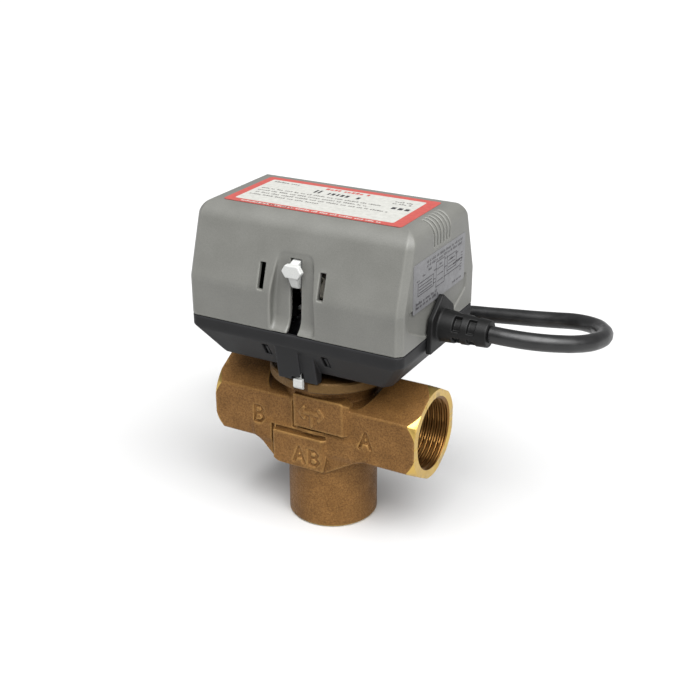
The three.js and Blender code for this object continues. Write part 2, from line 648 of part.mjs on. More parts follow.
function circuitBoard() {
  const board = cut(
    solid(box([-44.5, -14.5], [-9, -7.4], [93, 133])),
    solid(cylinderY(1.6, [-12, -5], 12, [-42, 95.5])),
    solid(cylinderY(1.6, [-12, -5], 12, [-42, 130.5])),
  );
  add('circuit_board', board, BOARD_GREEN);
  addEach(['lower_board_screw', 'upper_board_screw'], [95.5, 130.5].map((z) => join(
    solid(cylinderY(2.6, [-10.8, -9.3], 12, [-42, z])),
    solid(cylinderY(1.2, [-9.4, -4], 12, [-42, z])),
  )), STEEL);
  add('board_relay', box([-38, -22], [-7.1, 7], [106, 120]), BLACK_PLASTIC);
  add('board_capacitor', cylinderX(4.6, [-40, -22], 20, [-1.5, 127]), LEAD_BLUE);
  const terminals = Array.from({ length: 5 }, (_, i) => -37.5 + 4 * i);
  const block = cut(
    solid(box([-40, -19], [-7.1, 3], [94, 103])),
    ...terminals.map((x) => solid(box([x - 1.3, x + 1.3], [0, 5], [96, 100.5]))),
  );
  add('terminal_block', block, NATURAL_PLASTIC);
}

function internalLeads() {
  const spacing = 1.95;
  const leads = Array.from({ length: 3 }, (_, i) => {
    const rise = (i - 1) * spacing;
    const x = -29.5 + 8 * (i - 1);
    return tube([[43, 0, CABLE_Z + rise], [42.9, 8, CABLE_Z + rise], [42.4, 19, CABLE_Z + rise],
      [40.6, 25.6, CABLE_Z + rise], [35, 28.2, CABLE_Z + rise],
      [0, 28.3, CABLE_Z + rise],
      [-18, 27, CABLE_Z + rise], [x + 1.5, 16, 98.5 + rise * 0.6], [x, 8, 98.2 + rise * 0.2], [x, 1.2, 98.2]],
    0.8, 6, 14);
  });
  addEach(['blue_lead', 'brown_lead', 'black_lead'], leads, LEAD_BLUE);
}

// ---- bayonet and release latch ---------------------------------------------------------------
function bayonet() {
  const z = [80.4, 82.5];
  const notches = [box([-5, 5], [-17.8, 17.8], [80, 83]).rotateZ(-Math.PI / 4)];
  const screws = [75, 255].map((bearing) => offset([0, 0], 19.7, bearing));
  const holes = screws.map((centre) => cylinderZ(1.3, [79, 84], 12, centre));
  const plate = cut(solid(ring(BOSS_R + 0.4, 21.8, z, 28)), ...notches.map(solid), ...holes.map(solid));
  add('bayonet_ring', plate, STEEL);
  addEach(['rear_ring_screw', 'front_ring_screw'], screws.map((centre) => join(
    solid(cylinderZ(1, [80.2, 82.9], 12, centre)),
    solid(cylinderZ(2, [82.8, 83.9], 12, centre)),
  )), STEEL);
}

function releaseLatch() {
  const blade = solid(box([-2.15, 2.15], [-29.8, -27.6], [70.6, 87]));
  const chamfer = solid(box([-3, 3], [-1.6, 1.6], [-1.6, 1.6]).rotateX(Math.PI / 4).translate(0, -29.9, 70.4));
  add('release_latch', cut(blade, chamfer), WHITE_PLASTIC);
  const turns = 3;
  const points = Array.from({ length: turns * 6 + 1 }, (_, i) => {
    const turn = (i / 6) * Math.PI * 2;
    return [0.95 * Math.cos(turn), -28.7 + 0.95 * Math.sin(turn), 87.6 + (3.7 * i) / (turns * 6)];
  });
  add('latch_spring', tube(points, 0.28, 5, turns * 8), STEEL);
}

// ---- gland and cable -------------------------------------------------------------------------
function cableGland() {
  const house = outline([[-12, 90.2, 1], [12, 90.2, 1], [10.2, 105, 1.5], [0, 112.6, 2.5], [-10.2, 105, 1.5]], 3);
  const nose = [[0, 51], [7, 51], [6.9, 56], [6.4, 62], [5.9, 68], [5.4, GLAND_END], [0, GLAND_END]];
  const relief = [];
  [56.5, 61, 65.5].forEach((x) => {
    relief.push(box([x, x + 2.2], [-9, 9], [CABLE_Z + 4.3, CABLE_Z + 9]));
    relief.push(box([x, x + 2.2], [-9, 9], [CABLE_Z - 9, CABLE_Z - 4.3]));
  });
  const gland = cut(
    join(
      solid(prismX(house, [CASE_X + GAP, 51.7])),
      solid(turned(nose, 18).rotateY(Math.PI / 2).translate(0, 0, CABLE_Z)),
      solid(cylinderX(GLAND_HOLE_R - 0.4, [45, 50], 18, [0, CABLE_Z])),
      solid(cylinderX(9.6, [44.2, 46.8], 18, [0, CABLE_Z])),
    ),
    solid(cylinderX(CABLE_R - 0.6, [40, 70], 10, [0, CABLE_Z])),
    ...relief.map(solid),
  );
  add('cable_gland', gland, BLACK_PLASTIC);
}

function onCoil(angle, z) {
  return [COIL_CENTRE[0] + COIL_R * Math.cos(angle), COIL_CENTRE[1] + COIL_R * Math.sin(angle), z];
}

// The free stretch from the gland to the coil, chosen by hand.
const LEAD_ROUTE = [
  [GLAND_END + GAP, 0, CABLE_Z], [79.5, 0, CABLE_Z], [89.6, 1.8, 99.1], [98.5, 6.9, 98.1], [105, 14.7, 96.5],
  [108.6, 24.4, 94.8], [108.6, 34.6, 93], [105, 44.2, 91.2], [98.5, 52.1, 89.4], [89.6, 57.2, 87.5],
  [79.5, 59, 85.6], [69, 59.3, 84.2], [59, 59.4, 83.1], [49, 59.3, 82], [39, 59.1, 81], [31, 58.9, 79.5],
  [24, 58.7, 76], [17, 58.5, 69], [10, 58.3, 59], [3, 58, 49.1], [-4, 57.8, 39.2], [-11, 57.5, 29.2],
  [-18, 57.3, 19.3], [-25, 57, 11], [-32, 56.8, 6.7], [-40, 56.5, 4.6], [-49, 56.3, COIL_FIRST_Z],
  [-58, 56.1, COIL_FIRST_Z], [-69.5, 56.1, COIL_FIRST_Z], onCoil(COIL_START, COIL_FIRST_Z),
];

function cable() {
  const height = [COIL_FIRST_Z - CABLE_R, COIL_FIRST_Z + COIL_PITCH * (COIL_TURNS - 1) + CABLE_R];
  const inner = COIL_R - CABLE_R;
  const outer = COIL_R + CABLE_R;
  const bevel = 1.6;
  const section = [[inner, height[0] + bevel], [inner + bevel, height[0]], [outer - bevel, height[0]],
    [outer, height[0] + bevel], [outer, height[1] - bevel], [outer - bevel, height[1]],
    [inner + bevel, height[1]], [inner, height[1] - bevel], [inner, height[0] + bevel]];
  const placed = (geometry) => geometry.translate(COIL_CENTRE[0], COIL_CENTRE[1], 0);
  add('cable_coil', placed(turned(section, 32)), CABLE_BLACK);
  const clear = solid(placed(ring(inner - GAP, outer + GAP, [height[0] - 5, height[1] + GAP], 32)));
  add('cable_lead', solid(tube(LEAD_ROUTE, CABLE_R, 8, 32)).subtract(clear), CABLE_BLACK);

  const tailZ = height[1] + CABLE_R + GAP;
  const tail = Array.from({ length: 5 }, (_, i) => onCoil(COIL_START - (TAIL_ANGLE * i) / 4, tailZ));
  add('cable_tail', tube(tail, CABLE_R, 8, 4), CABLE_BLACK);
  const start = COIL_START - TAIL_ANGLE - 0.02;
  const cores = Array.from({ length: 3 }, (_, i) => {
    const spread = (i - 1) * 2;
    const points = Array.from({ length: 4 }, (__, k) => {
      const angle = start - (CORE_LENGTH / COIL_R) * (k / 3);
      const radius = COIL_R + spread * (1 + 0.12 * k);
      return [COIL_CENTRE[0] + radius * Math.cos(angle), COIL_CENTRE[1] + radius * Math.sin(angle),
        height[1] + 1.6 + (i % 2 ? 2.4 : 0.6) * (1 - 0.2 * k)];
    });
    return tube(points, 1, 6, 4);
  });
  addEach(['blue_core', 'brown_core', 'black_core'], cores, COPPER);
  const tieAngle = COIL_START + 3.6;
  const frame = (margin, wide) => box([inner - margin, outer + margin], [-wide, wide],
    [height[0] - margin, height[1] + margin]);
  const tie = cut(solid(frame(GAP + 0.45, 1.8)), solid(frame(GAP, 3)));
  add('cable_tie', placed(geometryOf(tie).rotateZ(tieAngle)), BLACK_PLASTIC);
}

valveBody();
cartridge();
bonnet();
baseHousing();
coverHousing();
labels();
driveRack();
stemCoupler();
manualLever();
rackGuide();
gearPlates(gearTrain());
limitSwitches();
circuitBoard();
internalLeads();
bayonet();
releaseLatch();
cableGland();
cable();

export default group;
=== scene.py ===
import json
import math

import bmesh
import bpy
import numpy as np
from mathutils import Matrix, Vector


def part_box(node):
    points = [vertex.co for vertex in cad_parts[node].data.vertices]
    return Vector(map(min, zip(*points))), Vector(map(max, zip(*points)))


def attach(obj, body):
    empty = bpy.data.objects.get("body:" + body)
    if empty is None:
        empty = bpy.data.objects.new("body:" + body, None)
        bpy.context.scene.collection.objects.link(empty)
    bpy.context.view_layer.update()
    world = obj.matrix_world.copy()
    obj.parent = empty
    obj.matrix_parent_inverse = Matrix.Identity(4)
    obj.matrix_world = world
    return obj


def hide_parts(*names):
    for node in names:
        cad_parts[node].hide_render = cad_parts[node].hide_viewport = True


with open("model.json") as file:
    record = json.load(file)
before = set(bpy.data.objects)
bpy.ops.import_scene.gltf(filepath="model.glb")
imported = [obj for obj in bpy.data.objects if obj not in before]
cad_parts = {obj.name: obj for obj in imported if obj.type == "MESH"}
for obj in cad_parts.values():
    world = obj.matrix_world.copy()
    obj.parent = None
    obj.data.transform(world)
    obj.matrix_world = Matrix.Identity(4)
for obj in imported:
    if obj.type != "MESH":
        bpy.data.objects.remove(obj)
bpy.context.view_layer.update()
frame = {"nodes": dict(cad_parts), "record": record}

# Shapes are worked out in millimetres and become metres when their mesh is made.
MM = 0.001


def box_mm(node):
    low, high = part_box(node)
    return np.array(low) / MM, np.array(high) / MM


def linked(name, data):
    """A new object in the scene that holds the data."""
    made = bpy.data.objects.new(name, data)
    bpy.context.scene.collection.objects.link(made)
    return made


def direction(azimuth, elevation):
    """A unit vector from two angles in degrees, the first from the lever's side towards port A."""
    turn, rise = math.radians(azimuth), math.radians(elevation)
    return Vector((math.sin(turn) * math.cos(rise), -math.cos(turn) * math.cos(rise), math.sin(rise)))


def aimed(name, data, back):
    """A camera or lamp that points against the direction back."""
    made = linked(name, data)
    made.rotation_mode = "QUATERNION"
    made.rotation_quaternion = (-back).to_track_quat("-Z", "Y")
    return made


# ---- camera ----------------------------------------------------------------------------------
CAMERA_YAW = 28.65  # degrees
CAMERA_PITCH = 23.88
CAMERA_DISTANCE = 0.5017
CAMERA_TARGET = (0.00663, 0.00362, 0.07726)
LENS = 59.57
SENSOR = 36  # millimetres, as the lens


def make_camera():
    data = bpy.data.cameras.new("camera")
    data.lens = LENS
    data.sensor_width = SENSOR
    back = direction(CAMERA_YAW, CAMERA_PITCH)
    camera = aimed("camera", data, back)
    camera.location = Vector(CAMERA_TARGET) + back * CAMERA_DISTANCE
    bpy.context.scene.camera = camera


# ---- cable route, in metres ------------------------------------------------------------------
CABLE_RADIUS = 0.0036
COIL_CENTRE = (-0.067, 0.092)
COIL_RADIUS = 0.036
COIL_PITCH = 0.0073
COIL_FIRST_Z = 0.0044
COIL_TURNS = 3
COIL_START = math.radians(-108)  # the turns run clockwise from here
POINTS_PER_TURN = 16
TAIL_ANGLE = 0.85
CORE_LENGTH = 0.034
LEAD_ROUTE = [
    (0.0726, 0, 0.0994), (0.0795, 0, 0.0994), (0.0896, 0.0018, 0.0991), (0.0985, 0.0069, 0.0981),
    (0.105, 0.0147, 0.0965), (0.1086, 0.0244, 0.0948), (0.1086, 0.0346, 0.093), (0.105, 0.0442, 0.0912),
    (0.0985, 0.0521, 0.0894), (0.0896, 0.0572, 0.0875), (0.0795, 0.059, 0.0856), (0.069, 0.0593, 0.0842),
    (0.059, 0.0594, 0.0831), (0.049, 0.0593, 0.082), (0.039, 0.0591, 0.081), (0.031, 0.0589, 0.0795),
    (0.024, 0.0587, 0.076), (0.017, 0.0585, 0.069), (0.01, 0.0583, 0.059), (0.003, 0.058, 0.0491),
    (-0.004, 0.0578, 0.0392), (-0.011, 0.0575, 0.0292), (-0.018, 0.0573, 0.0193), (-0.025, 0.057, 0.011),
    (-0.032, 0.0568, 0.0067), (-0.04, 0.0565, 0.0046), (-0.049, 0.0563, 0.0044), (-0.058, 0.0561, 0.0044),
    (-0.0695, 0.0561, 0.0044),
]


def on_coil(angle, z, radius=COIL_RADIUS):
    return (COIL_CENTRE[0] + radius * math.cos(angle), COIL_CENTRE[1] + radius * math.sin(angle), z)


def coil_height(turns):
    """Each turn lies flat, and its last third climbs onto the next one."""
    whole = math.floor(turns)
    climb = min(1, max(0, (turns - whole) * 3 - 2))
    return COIL_FIRST_Z + COIL_PITCH * (whole + climb * climb * (3 - 2 * climb))


def cable_route():
    route = list(LEAD_ROUTE)
    for i in range(COIL_TURNS * POINTS_PER_TURN + 1):
        turns = i / POINTS_PER_TURN
        route.append(on_coil(COIL_START - 2 * math.pi * turns, coil_height(turns)))
    for i in range(1, 5):
        route.append(on_coil(COIL_START - TAIL_ANGLE * i / 4, coil_height(COIL_TURNS)))
    return route


def tube_curve(name, points, radius, material):
    """A round tube along one open spline through the points."""
    data = bpy.data.curves.new(name, "CURVE")
    data.dimensions = "3D"
    data.bevel_depth = radius
    data.bevel_resolution = 5
    data.resolution_u = 8
    data.use_fill_caps = True
    spline = data.splines.new("BEZIER")
    spline.bezier_points.add(len(points) - 1)
    for knot, point in zip(spline.bezier_points, points):
        knot.co = point
        knot.handle_left_type = "AUTO"
        knot.handle_right_type = "AUTO"
    data.materials.append(material)
    return linked(name, data)


# ---- shapes as distance fields ---------------------------------------------------------------
# A field is below zero inside a shape. It takes coordinates in millimetres, as numbers or arrays.
def rounded_both(a, b, radius):
    """The inside that a and b share, with the edge between them rounded."""
    over = np.sqrt(np.square(np.maximum(a + radius, 0)) + np.square(np.maximum(b + radius, 0)))
    return np.minimum(-radius, np.maximum(a, b)) + over


def rounded_join(a, b, radius):
    return -rounded_both(-a, -b, radius)


def rounded_cut(a, b, radius):
    return rounded_both(a, -b, radius)


def slab(value, low, high):
    return np.abs(value - (low + high) / 2) - (high - low) / 2


def block(x, y, z, low, high, radius):
    sides = rounded_both(slab(x, low[0], high[0]), slab(y, low[1], high[1]), radius)
    return rounded_both(sides, slab(z, low[2], high[2]), radius)


def round_bar(u, v, centre, radius):
    return np.sqrt(np.square(u - centre[0]) + np.square(v - centre[1])) - radius


def beyond(u, v, start, end):
    """How far a point lies to the right of the line from start to end."""
    du, dv = end[0] - start[0], end[1] - start[1]
    return ((u - start[0]) * dv - (v - start[1]) * du) / math.hypot(du, dv)


def convex(u, v, corners, radius):
    """A convex outline, its corners listed anticlockwise."""
    field = beyond(u, v, corners[-1], corners[0])
    for start, end in zip(corners, corners[1:]):
        field = rounded_both(field, beyond(u, v, start, end), radius)
    return field


def stroke(u, v, start, end, width):
    """A straight pen stroke with round ends."""
    du, dv = end[0] - start[0], end[1] - start[1]
    along = np.clip(((u - start[0]) * du + (v - start[1]) * dv) / (du * du + dv * dv), 0, 1)
    return np.sqrt(np.square(u - start[0] - along * du) + np.square(v - start[1] - along * dv)) - width / 2


def letter(strokes, u, v, place, height, width):
    """A letter from strokes between points that are shares of its height."""
    field = np.float32(1e3)
    for start, end in strokes:
        at = [(place[0] + height * p[0], place[1] + height * p[1]) for p in (start, end)]
        field = np.minimum(field, stroke(u, v, at[0], at[1], width))
    return field


def surface_net(field, low, high, step):
    """Points and four-sided faces where the field is zero, between low and high."""
    axes = [np.arange(a, b + step, step, dtype=np.float32) for a, b in zip(low, high)]
    shape = tuple(len(axis) for axis in axes)
    grid = np.meshgrid(*axes, indexing="ij", sparse=True)
    value = np.ascontiguousarray(np.broadcast_to(field(*grid), shape), dtype=np.float32)
    inside = value < 0
    count = np.zeros([n - 1 for n in shape], np.int8)
    corners = [(i, j, k) for i in (0, 1) for j in (0, 1) for k in (0, 1)]
    for i, j, k in corners:
        count += inside[i:shape[0] - 1 + i, j:shape[1] - 1 + j, k:shape[2] - 1 + k]
    mixed = (count > 0) & (count < 8)
    cells = np.argwhere(mixed)
    number = np.full(mixed.shape, -1, np.int32)
    number[mixed] = np.arange(len(cells))

    total = np.zeros((len(cells), 3))
    hits = np.zeros(len(cells))
    for a in corners:
        for axis in range(3):
            if a[axis]:
                continue
            va = value[tuple((cells + a).T)]
            b = np.array(a)
            b[axis] = 1
            vb = value[tuple((cells + b).T)]
            crossing = (va < 0) != (vb < 0)
            share = va[crossing] / (va[crossing] - vb[crossing])
            total[crossing] += a
            total[crossing, axis] += share
            hits[crossing] += 1
    points = (cells + total / hits[:, None]) * step + np.array(low)

    faces = []
    for axis in range(3):
        u, v = (axis + 1) % 3, (axis + 2) % 3
        first = [slice(1, -1)] * 3
        first[axis] = slice(0, -1)
        second = list(first)
        second[axis] = slice(1, None)
        starts = inside[tuple(first)]
        edges = np.argwhere(starts != inside[tuple(second)])
        outward = starts[tuple(edges.T)]
        at = edges + [0 if k == axis else 1 for k in range(3)]
        around = []
        for du, dv in ((1, 1), (0, 1), (0, 0), (1, 0)):
            cell = at.copy()
            cell[:, u] -= du
            cell[:, v] -= dv
            around.append(number[tuple(cell.T)])
        quad = np.stack(around, axis=1)
        quad[~outward] = quad[~outward][:, ::-1]
        faces.append(quad)
    return points, np.concatenate(faces)


def onto_surface(field, points, reach):
    """Moves points along the field's slope to where it is zero."""
    small = 0.02
    here = field(*points.T)
    slope = np.stack([field(*(points + small * np.eye(3)[k]).T) - here for k in range(3)], axis=1) / small
    square = np.maximum(np.square(slope).sum(1), 0.2)
    move = -slope * (here / square)[:, None]
    length = np.maximum(np.linalg.norm(move, axis=1), 1e-9)
    return points + move * np.minimum(1, reach / length)[:, None]


def evened(points, faces):
    """Moves points half way to the middle of their neighbours."""
    ends = np.concatenate([faces[:, [k, (k + 1) % 4]] for k in range(4)])
    both = np.concatenate([ends, ends[:, ::-1]])
    total = np.stack([np.bincount(both[:, 0], points[both[:, 1], k], len(points)) for k in range(3)], axis=1)
    count = np.bincount(ends.ravel(), minlength=len(points))
    return points + 0.5 * (total / count[:, None] - points)


def mesh_from(name, points, faces, materials):
    """A smooth-shaded object from points in millimetres and faces of equal size."""
    mesh = bpy.data.meshes.new(name)
    sides = faces.shape[1]
    mesh.vertices.add(len(points))
    mesh.vertices.foreach_set("co", (points * MM).astype(np.float32).ravel())
    mesh.loops.add(faces.size)
    mesh.loops.foreach_set("vertex_index", faces.astype(np.int32).ravel())
    mesh.polygons.add(len(faces))
    mesh.polygons.foreach_set("loop_start", np.arange(0, faces.size, sides, dtype=np.int32))
    mesh.polygons.foreach_set("use_smooth", np.ones(len(faces), bool))
    mesh.update(calc_edges=True)
    mesh.validate()
    for material in materials:
        mesh.materials.append(material)
    return linked(name, mesh)


def sheet_mesh(name, points, faces, materials):
    """A flat-shaded object from points in millimetres and faces of any size."""
    mesh = bpy.data.meshes.new(name)
    mesh.from_pydata([tuple(point) for point in np.array(points) * MM], [], faces)
    for material in materials:
        mesh.materials.append(material)
    return linked(name, mesh)


def moulded(name, field, low, high, step, materials):
    """The field's surface as a closed mesh, with a margin of empty cells round it."""
    margin = 2 * step
    points, faces = surface_net(field, [v - margin for v in low], [v + margin for v in high], step)
    for _ in range(2):
        points = onto_surface(field, points, step / 2)
    for _ in range(2):
        points = evened(points, faces)
        points = onto_surface(field, points, step / 2)
    return mesh_from(name, points, faces, materials)


def with_modifiers(piece):
    """Turns the piece's modifiers into mesh."""
    graph = bpy.context.evaluated_depsgraph_get()
    made = bpy.data.meshes.new_from_object(piece.evaluated_get(graph))
    piece.modifiers.clear()
    piece.data = made
    return piece


def thinned(piece, triangles):
    """Fewer triangles where the surface is flat, with its shading kept even."""
    piece.data.calc_loop_triangles()
    count = len(piece.data.loop_triangles)
    if count > triangles:
        modifier = piece.modifiers.new("fewer", "DECIMATE")
        modifier.ratio = triangles / count
    modifier = piece.modifiers.new("large faces lead", "WEIGHTED_NORMAL")
    modifier.weight = 90
    return with_modifiers(piece)


def carved(piece, tool, operation):
    """Cuts, joins or intersects with another closed mesh, which is then removed."""
    modifier = piece.modifiers.new("boolean", "BOOLEAN")
    modifier.solver = "MANIFOLD"
    modifier.operation = operation
    modifier.object = tool
    with_modifiers(piece)
    bpy.data.objects.remove(tool)
    return piece


def crisp(piece, degrees=32):
    """Smooth shading with hard edges past an angle."""
    piece.data.polygons.foreach_set("use_smooth", np.ones(len(piece.data.polygons), bool))
    piece.data.set_sharp_from_angle(angle=math.radians(degrees))
    return piece


def lathe(name, profile, segments, materials, shades=None):
    """A closed body of revolution about Z from a closed loop of (radius, z) points.
    A point on the axis is kept a hair off it. shades gives each profile edge its material."""
    loop = np.array(profile, float)
    loop[:, 0] = np.maximum(loop[:, 0], 0.001)
    angles = np.linspace(0, 2 * math.pi, segments, endpoint=False)
    radius, along = loop.T
    rings = [np.stack([radius * math.cos(a), radius * math.sin(a), along], axis=1) for a in angles]
    points = np.concatenate(rings)
    n = len(loop)
    faces = []
    for i in range(segments):
        for j in range(n):
            here, after = i * n, ((i + 1) % segments) * n
            faces.append((here + j, after + j, after + (j + 1) % n, here + (j + 1) % n))
    piece = mesh_from(name, points, np.array(faces), materials)
    if shades:
        piece.data.polygons.foreach_set("material_index", np.array(list(shades) * segments, np.int32))
    return piece


def turned_to_x(piece, place):
    """Turns a piece made about Z so that its axis lies along X, and moves it, in millimetres."""
    piece.data.transform(Matrix.Translation(Vector(place) * MM) @ Matrix.Rotation(math.pi / 2, 4, "Y"))
    return piece


# ---- sizes from the frame, in millimetres ----------------------------------------------------
BODY_LOW, BODY_HIGH = box_mm("valve_body")
COVER_LOW, COVER_HIGH = box_mm("cover_housing")
BASE_LOW, BASE_HIGH = box_mm("base_housing")
FLANGE_LOW, FLANGE_HIGH = box_mm("bonnet")
GLAND_LOW, GLAND_HIGH = box_mm("cable_gland")
LEVER_LOW, LEVER_HIGH = box_mm("manual_lever")
LATCH_LOW, LATCH_HIGH = box_mm("release_latch")
TOP_LOW, TOP_HIGH = box_mm("top_label")
SIDE_LOW, SIDE_HIGH = box_mm("wiring_label")

# Brass body.
PORT_BOX = frame["record"]["physics"]["openings"][0]["box_m"]
PORT_Z = (PORT_BOX[0][2] + PORT_BOX[1][2]) / 2 / MM
HALF_LENGTH = BODY_HIGH[0]
NECK_TOP = 68.2
HEX_FLAT = 19.3
HEX_CORNER = HEX_FLAT / math.cos(math.pi / 6)
PAD_FRONT = BODY_LOW[1]
END_FACE_R = 19.8
CONE_LENGTH = 3.8
AB_R = 19.9
NECK_R = 20.5
POCKET_R = 27.8
POCKET_Z = 61
WATERWAY_R = 11.5
CARTRIDGE_R = 14.5
CARTRIDGE_Z = 26
THREAD_MINOR_R = 15.15
THREAD_MAJOR_R = 16.6
THREAD_PITCH = 2.309
THREAD_LENGTH = 17.5
MOUTH_R = 15.9
LETTER_DEPTH = 0.7
LETTER_A = [((0, 0), (0.36, 1)), ((0.72, 0), (0.36, 1)), ((0.15, 0.36), (0.57, 0.36))]
LETTER_B = [((0, 0), (0, 1)), ((0, 1), (0.38, 0.98)), ((0.38, 0.98), (0.56, 0.76)),
            ((0.56, 0.76), (0.38, 0.54)), ((0.38, 0.54), (0, 0.52)), ((0.38, 0.54), (0.64, 0.28)),
            ((0.64, 0.28), (0.42, 0.02)), ((0.42, 0.02), (0, 0))]
FLOW_SIGN = [((0, 0.7), (1.4, 0.7)), ((0.24, 1), (0, 0.7)), ((0.24, 0.4), (0, 0.7)), ((1.16, 1), (1.4, 0.7)),
             ((1.16, 0.4), (1.4, 0.7)), ((0.7, 0.7), (0.7, 0))]


BODY_STEP = 0.45
BODY_TRIANGLES = 150000
TURNED = 1  # places in the body's list of materials
TAPPED = 2


def hexagon(y, height, flat, radius):
    """A hexagonal bar along X with its flats at the front and back."""
    slope = math.sin(math.pi / 3)
    rising = np.abs(y / 2 + slope * height) - flat
    falling = np.abs(y / 2 - slope * height) - flat
    return rounded_both(rounded_both(rising, falling, radius), np.abs(y) - flat, radius)


def casting(x, y, z):
    height = z - PORT_Z
    bar = np.maximum(hexagon(y, height, HEX_FLAT, 0.6), np.abs(x) - HALF_LENGTH - 1)
    pocket = rounded_both(round_bar(x, y, (0, 0), POCKET_R), POCKET_Z - z, 1.5)
    body = rounded_cut(bar, pocket, 0.5)

    web = convex(x, z, [(-29, 39.4), (-21.9, 31.3), (-18.4, 28.4), (-12, 27.2), (7, 27.2), (12.5, 30.4),
                        (21, 35.6), (27, 39.4), (27, 46), (-29, 46)], 0.8)
    body = rounded_join(body, rounded_both(web, np.abs(y) - HEX_FLAT + 0.1, 1), 2.5)
    branch = np.maximum(round_bar(x, y, (0, 0), AB_R), slab(z, -1, 45))
    body = rounded_join(body, branch, 0.8)
    neck = rounded_both(round_bar(x, y, (0, 0), NECK_R), slab(z, 45, NECK_TOP), 0.5)
    body = rounded_join(body, neck, 0.8)

    # Raised pads, each with a ramp down to the flat on its right; the upper one is on both sides.
    depth = -PAD_FRONT
    turned_x = np.where(y > 0, -x, x)
    ramp = [(-7.5, -depth), (16.4, -depth), (18.6, -HEX_FLAT + 0.1), (18.6, -15), (-7.5, -15)]
    upper = convex(turned_x, -np.abs(y), ramp, 0.3)
    upper_top = beyond(turned_x, z, (21.8, 60.4), (15.5, 64))
    upper = rounded_both(upper, np.maximum(upper_top, slab(z, 48.5, 64)), 0.45)
    body = np.minimum(body, upper)
    ramp = [(-18.2, -depth), (6.2, -depth), (10, -HEX_FLAT + 0.4), (10, -12), (-18.2, -12)]
    lower = convex(x, y, ramp, 0.35)
    lower_side = beyond(x, z, (6.6, 27.9), (10.4, 47.5))
    lower = rounded_both(lower, rounded_both(slab(z, 28.6, 44.2), lower_side, 0.5), 0.45)
    lower = rounded_both(lower, beyond(x, z, (-21, 31.2), (-14, 27.9)), 0.45)
    body = np.minimum(body, lower)

    # Hollows along the pads' edges.
    front = y + HEX_FLAT
    hollows = [
        (rounded_both(slab(z, 44.2, 45.7), slab(x, -17.6, 7.6), 0.4), 0.7),
        (rounded_both(slab(x, -9.2, -7.5), slab(z, 46.6, 59.2), 0.5), 0.9),
        (rounded_both(slab(x, -19.8, -18.2), slab(z, 30.5, 46), 0.5), 0.8),
        (rounded_both(slab(x, -6, 15), slab(z, 47.3, 48.5), 0.4), 0.5),
    ]
    for shape, deep in hollows:
        body = rounded_cut(body, rounded_both(shape, front - deep, 0.4), 0.3)

    # Port letters sunk into the front, and a flow sign standing on the upper pad.
    pen = 1.25
    marks = [(LETTER_B, (-28.4, 45.1), 7.2, HEX_FLAT), (LETTER_A, (23.9, 45), 7, HEX_FLAT),
             (LETTER_A, (-7.4, 31.4), 6.8, depth), (LETTER_B, (0.4, 31.2), 6.8, depth)]
    for strokes, place, size, face in marks:
        sunk = rounded_both(letter(strokes, x, z, place, size, pen), y + face - LETTER_DEPTH, 0.1)
        body = rounded_cut(body, sunk, 0.2)
    sign = rounded_both(letter(FLOW_SIGN, x, z, (-3.9, 50.6), 8, 1.7), np.abs(y + depth) - 0.5, 0.2)
    return rounded_join(body, sign, 0.2)


def casting_with_bores(x, y, z):
    run_end = np.abs(x) - HALF_LENGTH + THREAD_LENGTH - 1
    run = rounded_both(round_bar(y, z, (0, PORT_Z), WATERWAY_R), run_end, 0.3)
    cartridge = np.maximum(round_bar(x, y, (0, 0), CARTRIDGE_R), CARTRIDGE_Z - z)
    waterway = rounded_join(run, cartridge, 0.4)
    outlet = np.maximum(round_bar(x, y, (0, 0), WATERWAY_R + 1), slab(z, THREAD_LENGTH - 1, CARTRIDGE_Z + 1))
    return rounded_cut(casting(x, y, z), np.minimum(waterway, outlet), 0.3)


def threaded_tool(name, materials):
    """What a tapped socket takes away: its mouth is at z = 0 and it goes down to -THREAD_LENGTH."""
    segments = 72
    per_pitch = 10
    rows = np.arange(-THREAD_LENGTH, 1.5, THREAD_PITCH / per_pitch)
    angles = np.linspace(0, 2 * math.pi, segments, endpoint=False)
    depth, angle = np.meshgrid(rows, angles, indexing="ij")
    phase = (depth / THREAD_PITCH + angle / (2 * math.pi)) % 1
    groove = np.clip(1.25 - 2.5 * np.abs(phase - 0.5), 0.05, 0.95)
    radius = THREAD_MINOR_R + (THREAD_MAJOR_R - THREAD_MINOR_R) * groove
    radius = np.maximum(radius, np.minimum(MOUTH_R + depth * 0.9, MOUTH_R + 1))
    points = np.stack([radius * np.cos(angle), radius * np.sin(angle), depth], axis=2).reshape(-1, 3)
    faces = [(i * segments + j, i * segments + (j + 1) % segments,
              (i + 1) * segments + (j + 1) % segments, (i + 1) * segments + j)
             for i in range(len(rows) - 1) for j in range(segments)]
    ends = np.array([[0, 0, rows[0]], [0, 0, rows[-1]]])
    last = (len(rows) - 1) * segments
    caps = [(len(points), (j + 1) % segments, j) for j in range(segments)]
    caps += [(len(points) + 1, last + j, last + (j + 1) % segments) for j in range(segments)]
    tool = sheet_mesh(name, np.concatenate([points, ends]), faces + caps, materials)
    tool.data.polygons.foreach_set("material_index", np.full(len(tool.data.polygons), TAPPED, np.int32))
    return tool


